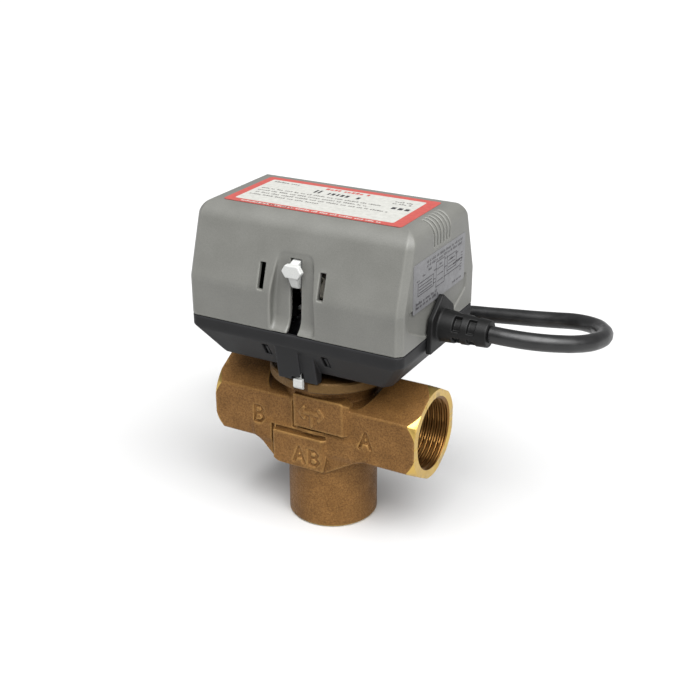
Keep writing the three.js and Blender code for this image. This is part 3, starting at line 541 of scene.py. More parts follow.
def make_body(looks):
    # The tapped brass on the threads is a darkened copy of the turned brass, with painted shade inside the
    # bores.
    materials = [looks["cast_brass"], looks["turned_brass"], looks["tapped_brass"]]
    low, high = BODY_LOW - (1, 0, 1), BODY_HIGH + (1, 0, 0)
    body = moulded("brass_body", casting_with_bores, low, high, BODY_STEP, materials)
    thinned(body, BODY_TRIANGLES)
    # The ends are turned: a cone behind each end face, cut to the hexagon's corners.
    reach = HEX_CORNER + 0.6
    shoulder = HALF_LENGTH - CONE_LENGTH * (reach - END_FACE_R) / (HEX_CORNER - END_FACE_R)
    clear = 70
    right = [(clear, shoulder - 0.5), (reach, shoulder), (END_FACE_R, HALF_LENGTH), (0, HALF_LENGTH)]
    left = [(radius, -along) for radius, along in reversed(right)]
    ends = lathe("turned_ends", left + right, 160, materials, shades=[TURNED] * 8)
    carved(body, turned_to_x(ends, (0, 0, PORT_Z)), "INTERSECT")
    foot = [(0, 0), (AB_R - 0.8, 0), (AB_R + 0.2, 1), (90, 1.2), (90, 120), (0, 120)]
    carved(body, lathe("turned_foot", foot, 128, materials, shades=[TURNED] * 6), "INTERSECT")
    for turn in (0, math.pi):
        socket = turned_to_x(threaded_tool("socket", materials), (HALF_LENGTH, 0, PORT_Z))
        socket.data.transform(Matrix.Rotation(turn, 4, "Z"))
        carved(body, socket, "DIFFERENCE")
    socket = threaded_tool("socket", materials)
    socket.data.transform(Matrix.Rotation(math.pi, 4, "X"))
    carved(body, socket, "DIFFERENCE")
    return crisp(body, 38)


# ---- bonnet ----------------------------------------------------------------------------------
def make_bonnet(turned):
    top, rim = 73.6, FLANGE_HIGH[0]
    flange = 68.5
    bottom, boss_top = FLANGE_LOW[2], FLANGE_HIGH[2]
    bore, throat, boss = 2.4, 14.2, 13
    profile = [(bore, bottom), (throat, bottom), (throat, flange), (rim - 0.9, flange), (rim, flange + 0.9),
               (rim, top - 0.7), (rim - 0.7, top), (boss + 0.6, top), (boss, top + 0.6),
               (boss, boss_top - 0.5), (boss - 0.5, boss_top), (3.9, boss_top), (3.9, 81.4), (bore, 81.4)]
    bonnet = lathe("bonnet_flange", profile, 128, [turned])

    def lugs(x, y, z):
        bar = rounded_both(slab(x, -20, 20), slab(y, -4, 4), 0.4)
        across = np.maximum(round_bar(x, y, (0, 0), 17), -round_bar(x, y, (0, 0), boss - 1))
        return rounded_both(rounded_both(bar, across, 0.3), slab(z, 82.9, boss_top), 0.3)

    carved(bonnet, moulded("lugs", lugs, (-17, -4, 82.9), (17, 4, boss_top), 0.4, [turned]), "UNION")
    notch = moulded("notch", lambda x, y, z: block(x, y, z, (-3.4, -30, 64), (3.4, -25.4, 78), 0.8),
                    (-3.4, -30, 64), (3.4, -25.4, 78), 0.4, [turned])
    return crisp(carved(bonnet, notch, "DIFFERENCE"))


# ---- actuator base ---------------------------------------------------------------------------
CASE_X = COVER_HIGH[0]
CASE_Y = -COVER_LOW[1]
CASE_MID = [(COVER_LOW[i] + COVER_HIGH[i]) / 2 for i in (0, 1)]
CASE_HALF = [(COVER_HIGH[i] - COVER_LOW[i]) / 2 for i in (0, 1)]
CASE_CHAMFER = 2.4
SPLIT = COVER_LOW[2]
COVER_TOP = COVER_HIGH[2]
BAND_TOP = SPLIT - 0.3
BASE_RIM = 91.5
BASE_BOTTOM = 78.1
BASE_INSET = (9.3, 8.4)
WALL = 2
CABLE_Z = LEAD_ROUTE[0][2] / MM
GLAND_HOLE_R = 7.9
CASE_STEP = 0.42
BASE_TRIANGLES = 170000
COVER_TRIANGLES = 190000


def cornered(side, front, chamfer, edge):
    """Two upright walls meeting at a chamfer whose edges are slightly rounded."""
    return rounded_both(np.maximum(side, front), (side + front + chamfer) / math.sqrt(2), edge)


def base_walls(x, y, z):
    walls = []
    for across, half, inset in zip((x - CASE_MID[0], y - CASE_MID[1]), CASE_HALF, BASE_INSET):
        out = np.abs(across)
        lean = beyond(out, z, (half - inset, BASE_BOTTOM), (half, BASE_RIM))
        walls.append(rounded_both(out - half, lean, 0.6))
    return rounded_both(cornered(*walls, CASE_CHAMFER, 0.7), BASE_BOTTOM - z, 0.9)


def latch_column(x, y, z):
    left = rounded_both(slab(x, -8.9, 1.9), beyond(-y, z, (29.9, 75), (32.9, 90.5)), 0.4)
    left = rounded_both(left, slab(z, 75, 90.5), 0.5)
    right = rounded_both(slab(x, 1, 8.6), beyond(-y, z, (28.1, 73.8), (32, 91)), 0.4)
    right = rounded_both(right, slab(z, 74, 91), 0.5)
    return np.maximum(np.minimum(left, right), y + 24)


def base_shell(x, y, z):
    walls = base_walls(x, y, z)
    column = latch_column(x, y, z)
    shell = rounded_cut(walls, walls + WALL, 0.4)
    column = np.maximum(column, -np.maximum(walls + WALL, -y - 28.5))
    shell = rounded_join(shell, column, 0.25)
    wide = np.abs(x - CASE_MID[0]) - CASE_HALF[0]
    deep = np.abs(y - CASE_MID[1]) - CASE_HALF[1]
    lip_outside = rounded_both(wide + WALL + 0.3, deep + WALL + 0.3, 3)
    lip_inside = rounded_both(wide + 3.5, deep + 3.5, 2)
    lip = rounded_both(np.maximum(lip_outside, -lip_inside), slab(z, 94, BASE_HIGH[2]), 0.2)
    lip = np.maximum(lip, -np.maximum(np.abs(x) - 13, y + 20))
    band = rounded_both(shell, z - BAND_TOP, 0.3)
    shell = np.minimum(band, lip)
    feet = np.float32(1e3)
    for centre in ((-23, -7.9), (36, -7.9), (-23, 11.7), (36, 11.7)):
        post = np.maximum(slab(x, centre[0] - 1.6, centre[0] + 1.6), slab(y, centre[1] - 2, centre[1] + 2))
        feet = np.minimum(feet, np.maximum(post, slab(z, BASE_BOTTOM + 1, 84.7)))
    shell = np.minimum(shell, feet)

    # A slot round a snap tab on each side of the column.
    for middle in (-14, 14):
        slot = rounded_both(slab(x, middle - 1.5, middle + 1.5), slab(z, 83.7, 89.3), 0.3)
        tab = rounded_both(slab(x, middle - 0.6, middle + 0.7), slab(z, 83, 88.5), 0.2)
        tab = rounded_both(tab, walls + 0.5, 0.2)
        opening = np.maximum(rounded_cut(slot, tab, 0.15), y + 24)
        shell = rounded_cut(shell, opening, 0.2)
    # The way is narrower above the tab's highest place.
    way_side = np.where(z < 78.4, x - 2.6, x - 1.4)
    latch_way = rounded_both(np.maximum(way_side, -2.6 - x), slab(y, -30.05, -27.35), 0.3)
    cuts = [
        np.maximum(latch_way, z - 92),
        np.maximum(round_bar(x, y, (0, 0), 18), z - BASE_BOTTOM - WALL - 0.2),
        np.maximum(round_bar(y, z, (0, CABLE_Z), GLAND_HOLE_R), 44 - x),
        np.maximum(round_bar(y, z, (0, CABLE_Z), 10.4), slab(x, 40, 47.1)),
    ]
    for cut in cuts:
        shell = rounded_cut(shell, cut, 0.25)
    return shell


def make_base(plastic):
    low = (BASE_LOW[0], BASE_LOW[1], 74)
    base = moulded("base_shell", base_shell, low, BASE_HIGH, CASE_STEP, [plastic])
    return thinned(base, BASE_TRIANGLES)


# ---- actuator cover --------------------------------------------------------------------------
CREASE = 113.5
COVER_INSET = 9.6
TOP_FILLET = 6.5
CHANNEL_FLOOR = -28.3  # at the channel's top
CHANNEL_TOP = 130.5
CHANNEL_LEAN = 0.055  # how far its floor moves forward for each millimetre down
SLOT_LOW = -2.75
SLOT_HIGH = 2.4
SLOT_TOP = 127.6
SIDE_SLOT_X = 13.9
GRIPS = [-5.1 + 2.9 * i for i in range(6)]


def cover_walls(x, y, z):
    deep = np.abs(y - CASE_MID[1])
    lean = beyond(deep, z, (CASE_HALF[1], CREASE), (CASE_HALF[1] - COVER_INSET, COVER_TOP))
    front = rounded_both(deep - CASE_HALF[1], lean, 0.5)
    side = np.abs(x - CASE_MID[0]) - CASE_HALF[0]
    walls = rounded_both(cornered(side, front, CASE_CHAMFER, 0.35), z - COVER_TOP, TOP_FILLET)
    outline = [(-10.3, 88), (10.3, 88), (10.3, 117), (7.6, CHANNEL_TOP), (-7.6, CHANNEL_TOP), (-10.3, 117)]
    arch = convex(x, z, outline, 2.6)
    ramp = beyond(y, z, (-CASE_Y - 0.6, SPLIT - 0.2), (CHANNEL_FLOOR, SPLIT + 5.4))
    scoop = rounded_both(y - CHANNEL_FLOOR + CHANNEL_LEAN * (CHANNEL_TOP - z), ramp, 1.8)
    return rounded_cut(walls, rounded_both(arch, scoop, 1.5), 0.8)


def cover_shell(x, y, z):
    walls = cover_walls(x, y, z)
    shell = rounded_both(rounded_cut(walls, walls + WALL, 0.3), SPLIT - z, 0.3)
    outline = [(-27.8, 113), (-27.8, 105.8), (-10.6, 97.6), (10.6, 97.6), (27.8, 105.8), (27.8, 113)]
    recess = convex(y, z, outline, 1.2)
    shell = rounded_cut(shell, np.maximum(recess, CASE_X - 0.6 - x), 0.2)
    for middle in GRIPS:
        groove = rounded_both(slab(y, middle - 0.5, middle + 0.5), -walls - 1, 0.1)
        shell = rounded_cut(shell, np.maximum(np.maximum(groove, 133.2 - z), 43.2 - x), 0.2)
    apart = slab(np.abs(x + 0.8), SIDE_SLOT_X - 1.35, SIDE_SLOT_X + 1.35)
    beside = rounded_both(apart, slab(z, 113.6, 124.4), 0.25)
    slot = rounded_both(slab(x, SLOT_LOW, SLOT_HIGH), z - SLOT_TOP, 0.3)
    hole = rounded_join(round_bar(y, z, (0, CABLE_Z), GLAND_HOLE_R),
                        np.maximum(np.abs(y) - GLAND_HOLE_R, z - CABLE_Z), 0.1)
    for cut in (np.maximum(beside, y + 25), np.maximum(slot, y + 22), np.maximum(hole, 44 - x)):
        shell = rounded_cut(shell, cut, 0.25)
    return shell


def make_cover(plastic):
    cover = moulded("cover_shell", cover_shell, COVER_LOW, COVER_HIGH, CASE_STEP, [plastic])
    return thinned(cover, COVER_TRIANGLES)


# ---- lever, latch and gland ------------------------------------------------------------------
def make_lever(plastic):
    front = LEVER_LOW[1]
    back = LEVER_HIGH[1]

    def lever(x, y, z):
        outline = [(-4.6, 123.4), (-2.9, 120.7), (2.9, 120.7), (4.6, 123.4), (2.9, 126.1), (-2.9, 126.1)]
        knob = rounded_both(convex(x, z, outline, 0.35), slab(y, front, front + 2.6), 0.45)
        outline = [(front + 0.6, 121), (front + 2.6, 116), (-28, 115.1), (-19, 115.1), (-19, 126.9),
                   (-28, 127.3), (front + 2, 126)]
        half_width = 1.6 + 0.15 * np.clip(z - 117, 0, 2)
        neck = rounded_both(convex(y, z, outline, 0.7), np.abs(x) - half_width, 0.4)
        carrier = block(x, y, z, (-3.8, -20, 112), (0.6, back, 127.3), 0.3)
        return rounded_join(rounded_join(knob, neck, 0.4), carrier, 0.3)

    return moulded("override_lever", lever, LEVER_LOW, LEVER_HIGH, 0.22, [plastic])


def make_latch(plastic):
    low, high = LATCH_LOW, LATCH_HIGH

    def latch(x, y, z):
        tab = block(x, y, z, low, (high[0], high[1], 75.4), 0.35)
        blade = block(x, y, z, (low[0] + 0.9, low[1] + 1.3, low[2] + 2), (1, high[1], high[2]), 0.3)
        nose = beyond(-y, z, (26.8, low[2] - 1.4), (-low[1] + 0.3, low[2] + 1.3))
        return rounded_both(np.minimum(tab, blade), nose, 0.5)

    return moulded("push_tab", latch, low, high, 0.2, [plastic])


def make_gland(plastic):
    flange_x = CASE_X + 0.3
    nose_end = GLAND_HIGH[0]

    def gland(x, y, z):
        height = z - CABLE_Z
        radius = np.sqrt(np.square(y) + np.square(height))
        house = convex(y, z, [(-12, 90.3), (12, 90.3), (10.4, 105), (0, 112.8), (-10.4, 105)], 1.1)
        flange = rounded_both(house, slab(x, flange_x, flange_x + 2.2), 0.4)
        nose = rounded_both(radius - 6.9 + 1.3 * (x - 51) / 21, slab(x, 50, nose_end), 0.5)
        shape = rounded_join(flange, nose, 0.7)
        turn = np.arctan2(height, -y) - math.radians(38)
        quarter = np.abs((turn + math.pi / 4) % (math.pi / 2) - math.pi / 4)
        window = (quarter - math.radians(32)) * radius
        for start in (58, 64.2):
            slot = rounded_both(rounded_both(slab(x, start, start + 3.2), window, 0.3), 4.5 - radius, 0.3)
            shape = rounded_cut(shape, slot, 0.25)
        inner = rounded_join(np.maximum(radius - GLAND_HOLE_R + 0.4, slab(x, 45, 50)),
                             np.maximum(radius - 9.6, slab(x, 44.2, 46.8)), 0.2)
        shape = np.minimum(shape, inner)
        return rounded_cut(shape, np.maximum(radius - 3, x - 70), 0.2)

    return moulded("moulded_gland", gland, GLAND_LOW, GLAND_HIGH, 0.24, [plastic])


def make_tie(plastic):
    inner, outer = (COIL_RADIUS - CABLE_RADIUS) / MM, (COIL_RADIUS + CABLE_RADIUS) / MM
    bottom = 0.8
    top = (COIL_FIRST_Z + COIL_PITCH * (COIL_TURNS - 1) + CABLE_RADIUS) / MM
    centre = [c / MM for c in COIL_CENTRE]
    low, high = box_mm("cable_tie")
    turn = math.atan2((low[1] + high[1]) / 2 - centre[1], (low[0] + high[0]) / 2 - centre[0])

    def strap(x, y, z):
        along = (x - centre[0]) * math.cos(turn) + (y - centre[1]) * math.sin(turn)
        across = -(x - centre[0]) * math.sin(turn) + (y - centre[1]) * math.cos(turn)
        section = rounded_both(slab(along, inner - 0.2, outer + 0.2), slab(z, bottom - 0.15, top + 0.2), 2.2)
        band = np.maximum(section - 0.6, -section)
        loop = rounded_both(band, np.abs(across) - 1.8, 0.2)
        head = rounded_both(rounded_both(slab(along, inner - 3.2, inner - 0.6), slab(z, 12, 16.5), 0.4),
                            np.abs(across) - 2.4, 0.4)
        return rounded_join(loop, head, 0.2)

    margin = np.array((4, 4, 1))
    return moulded("cable_tie_strap", strap, low - margin, high + margin, 0.4, [plastic])


# ---- labels ----------------------------------------------------------------------------------
INK_THICKNESS = 0.02
BOX_FACES = ((3, 2, 1, 0), (4, 5, 6, 7), (0, 1, 5, 4), (1, 2, 6, 5), (2, 3, 7, 6), (3, 0, 4, 7))


def sheet_of(name, tiles, place, materials):
    """Thin closed tiles on one label: (u, v, width, height, material, base) each,
    and place turns (u, v, w) into a point in millimetres."""
    points, faces, shades = [], [], []
    for u, v, width, height, shade, base in tiles:
        first = len(points)
        for w in (base, base + INK_THICKNESS):
            for du, dv in ((0, 0), (width, 0), (width, height), (0, height)):
                points.append(place(u + du, v + dv, w))
        faces += [[first + k for k in face] for face in BOX_FACES]
        shades += [shade] * len(BOX_FACES)
    piece = mesh_from(name, np.array(points), np.array(faces), materials)
    piece.data.polygons.foreach_set("material_index", np.array(shades, np.int32))
    return crisp(piece)


def greeked(draw, u, v, length, height, shade, base, glyph=0.62):
    """A line of print too small to read: plain bars of uneven width with gaps between words."""
    tiles = []
    end = u + length
    while u < end:
        for _ in range(int(draw.integers(2, 7))):
            width = height * glyph * float(draw.uniform(0.6, 1.1))
            tall = height * float(draw.choice([0.7, 0.7, 1.0]))
            tiles.append((u, v, width, tall, shade, base))
            u += width + height * 0.22
            if u >= end:
                break
        u += height * 0.7
    return tiles


def plate(name, low, high, corner, thick, place, material):
    """A thin sticker with round corners."""
    ring = []
    left, right = low[0] + corner, high[0] - corner
    front, back = low[1] + corner, high[1] - corner
    for quarter, (u, v) in enumerate(((right, back), (left, back), (left, front), (right, front))):
        for k in range(7):
            turn = math.radians(90 * quarter + 15 * k)
            ring.append((u + corner * math.cos(turn), v + corner * math.sin(turn)))
    n = len(ring)
    faces = [tuple(range(n))[::-1], tuple(range(n, 2 * n))]
    faces += [(i, (i + 1) % n, n + (i + 1) % n, n + i) for i in range(n)]
    points = [place(u, v, w) for w in (0, thick) for u, v in ring]
    return sheet_mesh(name, points, faces, [material])


def merged(name, parts):
    """One object from several, their materials kept."""
    joined = bpy.data.meshes.new(name)
    materials = []
    for part in parts:
        for material in part.data.materials:
            if material not in materials:
                materials.append(material)
    whole = bmesh.new()
    for part in parts:
        order = [materials.index(m) for m in part.data.materials]
        before = len(whole.faces)
        whole.from_mesh(part.data)
        whole.faces.ensure_lookup_table()
        for face in whole.faces[before:]:
            face.material_index = order[face.material_index]
        bpy.data.objects.remove(part)
    whole.to_mesh(joined)
    whole.free()
    for material in materials:
        joined.materials.append(material)
    return linked(name, joined)


def make_top_label(looks):
    """A red border round a white field with rows of unreadable print and two plain signs."""
    draw = np.random.default_rng(7)
    floor = COVER_TOP
    place = lambda u, v, w: (u, v, floor + w)
    low, high = TOP_LOW, TOP_HIGH
    border = plate("border", (low[0], low[1]), (high[0], high[1]), 1.5, 0.2, place, looks["label_red"])
    inset = (3.6, 3.4)
    left, right = low[0] + inset[0], high[0] - inset[0] - 1.5
    front, back = low[1] + inset[1], high[1] - inset[1]
    lift = lambda u, v, w: (u, v, floor + 0.2 + w)
    field = plate("field", (left, front), (right, back), 1, 0.03, lift, looks["label_white"])
    ink = 0.23
    tiles = []
    tiles += greeked(draw, left + 2, back - 3.2, 13, 1.5, 0, ink)
    tiles += greeked(draw, -10, back - 3.2, 21, 2.1, 1, ink, 0.8)
    tiles += greeked(draw, -12.5, back - 9.4, 21, 4.1, 2, ink, 0.34)
    for row, (start, length) in enumerate(((left + 2, 56), (left + 2, 52), (left + 3, 62), (left + 2, 34))):
        tiles += greeked(draw, start, back - 13.4 - 3.2 * row, length, 1.3, 0, ink)
    for k in range(3):
        tiles.append((right - 9.5 + 3 * k, back - 14.6, 1.9, 2.6, 2, ink))
    for k in range(2):
        tiles += greeked(draw, right - 12, back - 5.4 - 2.6 * k, 8, 1.4, 0, ink)
    for row, width in enumerate((64, 22)):
        tiles += greeked(draw, low[0] + 8 + 4 * row, low[1] + 1.1, width, 1.3, 3, 0.2)
    inks = [looks["ink_grey"], looks["label_red"], looks["ink_dark"], looks["label_white"]]
    print_ = sheet_of("print", tiles, place, inks)
    return merged("rating_label", [border, field, print_])


def make_side_label(looks):
    """A pale film with a plain circuit sketch: boxes, wires and rows of unreadable print."""
    draw = np.random.default_rng(11)
    wall = SIDE_LOW[0]
    bottom, top = 111.2, SIDE_HIGH[2]
    low, high = SIDE_LOW[1], SIDE_HIGH[1]
    place = lambda u, v, w: (wall + w, u, v)
    film = plate("film", (low, bottom), (high, top), 1, 0.15, place, looks["wiring_film"])
    ink = 0.15
    tiles = []
    for k in range(2):
        tiles += greeked(draw, low + 12, top - 2.4 - 1.6 * k, 34, 1.1, 0, ink)
    for k in range(2):
        tiles += greeked(draw, low + 2.5, bottom + 1.5 + 1.6 * k, 20, 1.2, 0, ink)
        tiles += greeked(draw, low + 37, bottom + 1.5 + 8 * k, 9, 0.9, 0, ink)
    line = 0.42
    for u, v, width, height in ((4, 6.5, 14, 5), (20.5, 5, 8, 10.5), (31, 8.5, 9, 6)):
        left, base = low + u, bottom + v
        for rise in (0, height):
            tiles.append((left, base + rise, width, line, 0, ink))
        for aside, extra in ((0, 0), (width, line)):
            tiles.append((left + aside, base, line, height + extra, 0, ink))
        for k in range(3):
            tiles.append((left + 1.2, base + height * (k + 0.8) / 4, width - 2.4, line, 0, ink))
    for u, v, width in ((18, 9, 2.5), (28.5, 11, 2.5), (40, 10, 5), (18, 7.5, 2.5), (28.5, 7, 16)):
        tiles.append((low + u, bottom + v, width, line, 0, ink))
    for k in range(8):
        tiles += greeked(draw, low + 3 + 5.2 * k, bottom + 12.6 + (k % 3) * 0.9, 2.4, 0.9, 0, ink)
    for k in range(7):
        tiles.append((low + 44 + 0.2 * k, bottom + 5 + 1.2 * k, 1.6, 0.5, 0, ink))
    print_ = sheet_of("print", tiles, place, [looks["ink_dark"]])
    return merged("wiring_film", [film, print_])


# ---- materials -------------------------------------------------------------------------------
def linear(*srgb):
    """A colour given as 0 to 255 in sRGB, in the shader's units."""
    shares = [c / 255 for c in srgb]
    return tuple(s / 12.92 if s <= 0.04045 else ((s + 0.055) / 1.055) ** 2.4 for s in shares) + (1,)


class Look:
    """A material on one Principled shader, with helpers for its nodes. Noise sizes are in millimetres."""

    def __init__(self, name, roughness=0.5, metallic=0.0, coat=0.0, specular=0.5):
        self.material = bpy.data.materials.new(name)
        self.material.use_nodes = True
        self.nodes = self.material.node_tree.nodes
        self.links = self.material.node_tree.links
        self.shader = self.nodes["Principled BSDF"]
        self.shader.inputs["Roughness"].default_value = roughness
        self.shader.inputs["Metallic"].default_value = metallic
        self.shader.inputs["Coat Weight"].default_value = coat
        self.shader.inputs["Specular IOR Level"].default_value = specular
        self.place = self.nodes.new("ShaderNodeTexCoord").outputs["Object"]

    def mapped(self, name, value):
        node = self.nodes.new("ShaderNodeMapping")
        node.inputs[name].default_value = value
        self.links.new(self.place, node.inputs["Vector"])
        return node.outputs["Vector"]

    def noise(self, size, detail=2.0, rough=0.5, stretch=None):
        node = self.nodes.new("ShaderNodeTexNoise")
        node.inputs["Scale"].default_value = 1 / (size * MM)
        node.inputs["Detail"].default_value = detail
        node.inputs["Roughness"].default_value = rough
        self.links.new(self.mapped("Scale", stretch) if stretch else self.place, node.inputs["Vector"])
        return node.outputs["Fac"]

    def spread(self, value, low, high, to_low, to_high):
        node = self.nodes.new("ShaderNodeMapRange")
        for name, number in zip(("From Min", "From Max", "To Min", "To Max"), (low, high, to_low, to_high)):
            node.inputs[name].default_value = number
        self.links.new(value, node.inputs["Value"])
        return node.outputs["Result"]

    def mix(self, share, first, second, blend="MIX"):
        node = self.nodes.new("ShaderNodeMix")
        node.data_type = "RGBA"
        node.blend_type = blend
        for socket, value in ((0, share), (6, first), (7, second)):
            if isinstance(value, (tuple, float, int)):
                node.inputs[socket].default_value = value
            else:
                self.links.new(value, node.inputs[socket])
        return node.outputs[2]

    def edges(self, low=0.505, high=0.56):
        """Near 1 on edges that stand out, where a surface wears bright."""
        worn = self.nodes.new("ShaderNodeNewGeometry").outputs["Pointiness"]
        return self.spread(worn, low, high, 0, 1)

    def bump(self, height, depth, strength=1.0, under=None):
        node = self.nodes.new("ShaderNodeBump")
        node.inputs["Distance"].default_value = depth * MM
        node.inputs["Strength"].default_value = strength
        self.links.new(height, node.inputs["Height"])
        if under is not None:
            self.links.new(under, node.inputs["Normal"])
        return node.outputs["Normal"]

    def set(self, name, value):
        self.links.new(value, self.shader.inputs[name])


def cast_brass(name, shade):
    """Sand-cast, tumbled brass. shade scales all of its colours."""
    look = Look(name, metallic=0.4, specular=0.22)
    patch = look.spread(look.noise(9, 3), 0.35, 0.68, 0, 1)
    sand = look.spread(look.noise(0.75, 3, 0.6), 0.38, 0.66, 0, 1)
    colour = look.mix(patch, linear(110, 77, 39), linear(127, 91, 49))
    colour = look.mix(look.spread(sand, 0, 1, 0, 0.6), colour, linear(74, 49, 24))
    specks = look.spread(look.noise(0.45, 1), 0.66, 0.74, 0, 0.55)
    colour = look.mix(specks, colour, linear(150, 118, 70))
    colour = look.mix(look.spread(look.edges(), 0, 1, 0, 0.5), colour, linear(166, 130, 76))
    # A shade below 1 darkens every colour: the bonnet's copy at 0.42 is painted shade, standing in for the
    # shadow the actuator casts over it.
    colour = look.mix(1.0, colour, (shade, shade, shade, 1), "MULTIPLY")
    look.set("Base Color", colour)
    look.set("Roughness", look.spread(sand, 0, 1, 0.42, 0.62))
    grain = look.bump(look.noise(0.8, 4, 0.62), 0.2, 1)
    look.set("Normal", look.bump(look.noise(5, 2), 0.18, 0.6, grain))
    return look.material


def turned_brass(name, dark, light):
    look = Look(name, metallic=1.0)
    patch = look.noise(6, 3)
    look.set("Base Color", look.mix(patch, dark, light))
    look.set("Roughness", look.spread(look.noise(2.5, 3), 0.3, 0.7, 0.3, 0.42))
    # Fine turning marks run round the X axis of ports A and B.
    rings = look.nodes.new("ShaderNodeTexWave")
    rings.wave_type = "RINGS"
    rings.rings_direction = "X"
    rings.inputs["Scale"].default_value = 700
    rings.inputs["Distortion"].default_value = 1.5
    look.links.new(look.mapped("Location", (0, 0, -PORT_Z * MM)), rings.inputs["Vector"])
    look.set("Normal", look.bump(rings.outputs["Fac"], 0.012, 0.4))
    return look.material


def moulded_plastic(name, dark, light, roughness, grain_size, grain_depth, worn=None, specular=0.5):
    """Spark-eroded plastic: a fine even grain, faint flow clouding and slightly polished edges."""
    look = Look(name, specular=specular)
    cloud = look.spread(look.noise(14, 3), 0.3, 0.7, 0, 1)
    colour = look.mix(cloud, linear(*dark), linear(*light))
    fine = look.noise(grain_size, 2)
    colour = look.mix(look.spread(fine, 0.3, 0.7, 0, 0.16), colour, (0.01, 0.01, 0.01, 1))
    if worn:
        colour = look.mix(look.spread(look.edges(), 0, 1, 0, 0.4), colour, linear(*worn))
    look.set("Base Color", colour)
    look.set("Roughness", look.spread(cloud, 0, 1, roughness - 0.04, roughness + 0.05))
    look.set("Normal", look.bump(fine, grain_depth, 0.8))
    return look.material


def printed(name, colour, roughness=0.38):
    """Ink or film: nearly even, with a faint mottle."""
    look = Look(name)
    darker = tuple(c * 0.86 for c in colour[:3]) + (1,)
    look.set("Base Color", look.mix(look.spread(look.noise(1.8, 2), 0.35, 0.7, 0, 1), colour, darker))
    look.set("Roughness", look.spread(look.noise(5, 2), 0.3, 0.7, roughness - 0.05, roughness + 0.08))
    look.set("Normal", look.bump(look.noise(0.6, 1), 0.006, 0.5))
    return look.material


def rolled_metal(name, dark, light, roughness, stretch=(1, 1, 12)):
    look = Look(name, metallic=1.0)
    streaks = look.noise(1.2, 3, 0.6, stretch)
    look.set("Base Color", look.mix(streaks, dark, light))
    look.set("Roughness", look.spread(streaks, 0.3, 0.7, roughness - 0.06, roughness + 0.1))
    look.set("Normal", look.bump(streaks, 0.01, 0.5))
    return look.material


def sheath(name, colour, roughness, coat=0.0):
    """Extruded PVC: smooth, with faint waviness."""
    look = Look(name, coat=coat)
    lighter = tuple(min(1, c * 1.35 + 0.004) for c in colour[:3]) + (1,)
    look.set("Base Color", look.mix(look.spread(look.noise(7, 2), 0.35, 0.7, 0, 1), colour, lighter))
    look.set("Roughness", look.spread(look.noise(3, 2), 0.3, 0.7, roughness - 0.05, roughness + 0.08))
    look.set("Normal", look.bump(look.noise(2.2, 2), 0.03, 0.5))
    return look.material


def winding():
    """Enamelled wire laid in even turns round the motor's axis."""
    look = Look("copper", metallic=1.0)
    wave = look.nodes.new("ShaderNodeTexWave")
    wave.bands_direction = "Y"
    wave.inputs["Scale"].default_value = 900
    look.links.new(look.place, wave.inputs["Vector"])
    look.set("Base Color", look.mix(wave.outputs["Fac"], linear(128, 66, 34), linear(196, 118, 70)))
    look.set("Roughness", look.spread(look.noise(2, 2), 0.3, 0.7, 0.28, 0.42))
    look.set("Normal", look.bump(wave.outputs["Fac"], 0.06, 0.8))
    return look.material


# Each plastic's dark and light colour in sRGB, roughness, grain size and depth in millimetres,
# the colour of its worn edges and its specular share.
PLASTICS = {
    "natural_plastic": ((218, 211, 192), (230, 225, 210), 0.45, 0.5, 0.02),
    "cover_grey": ((95, 95, 91), (101, 101, 97), 0.42, 0.42, 0.03, (126, 126, 121), 0.4),
    "base_grey": ((25, 25, 26), (30, 30, 31), 0.5, 0.42, 0.03, (46, 46, 48), 0.16),
    "white_plastic": ((170, 171, 169), (178, 179, 177), 0.4, 0.5, 0.015),
    "black_plastic": ((9, 9, 9), (13, 13, 13), 0.48, 0.42, 0.03, (26, 26, 27), 0.22),
    "circuit_board": ((22, 74, 44), (30, 92, 56), 0.35, 1.6, 0.02),
}
# Each sheath's colour in sRGB, its roughness and its coat.
SHEATHS = {
    "seal_rubber": ((26, 26, 27), 0.62, 0.0),
    "cable_black": ((9, 9, 10), 0.38, 0.06),
    "lead_blue": ((38, 84, 160), 0.38, 0.0),
    "lead_brown": ((98, 60, 36), 0.38, 0.0),
    "lead_black": ((30, 30, 32), 0.38, 0.0),
}
PRINTS = {
    "label_red": (158, 68, 62),
    "label_white": (166, 166, 161),
    "wiring_film": (100, 100, 102),
    "ink_grey": (92, 90, 88),
    "ink_dark": (40, 38, 42),
}


def make_looks():
    looks = {
        "cast_brass": cast_brass("cast_brass", 1.0),
        # The bonnet's brass is the cast brass darkened to 0.42: painted shade from the actuator above it.
        "machined_brass": cast_brass("tumbled_brass_painted_shade", 0.42),
        "turned_brass": turned_brass("turned_brass", linear(188, 154, 80), linear(208, 178, 104)),
        # The threads' brass is the turned brass made much darker: painted shade inside the port bores.
        "tapped_brass": turned_brass("tapped_brass", linear(112, 80, 42), linear(136, 100, 56)),
        "steel": rolled_metal("steel", linear(150, 153, 158), linear(196, 199, 203), 0.3),
        "copper": winding(),
    }
    for name, values in PLASTICS.items():
        looks[name] = moulded_plastic(name, *values)
    for name, (colour, roughness, coat) in SHEATHS.items():
        looks[name] = sheath(name, linear(*colour), roughness, coat)
    for name, colour in PRINTS.items():
        looks[name] = printed(name, linear(*colour))
    return looks


# ---- making the pieces -----------------------------------------------------------------------
replaced = set()


def finish_piece(piece, body, slot, *nodes):
    """A piece that stands for CAD nodes: it rides on their body, and the nodes are hidden. slot is not used.
    """
    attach(piece, body)
    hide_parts(*nodes)
    replaced.update(nodes)
    return piece


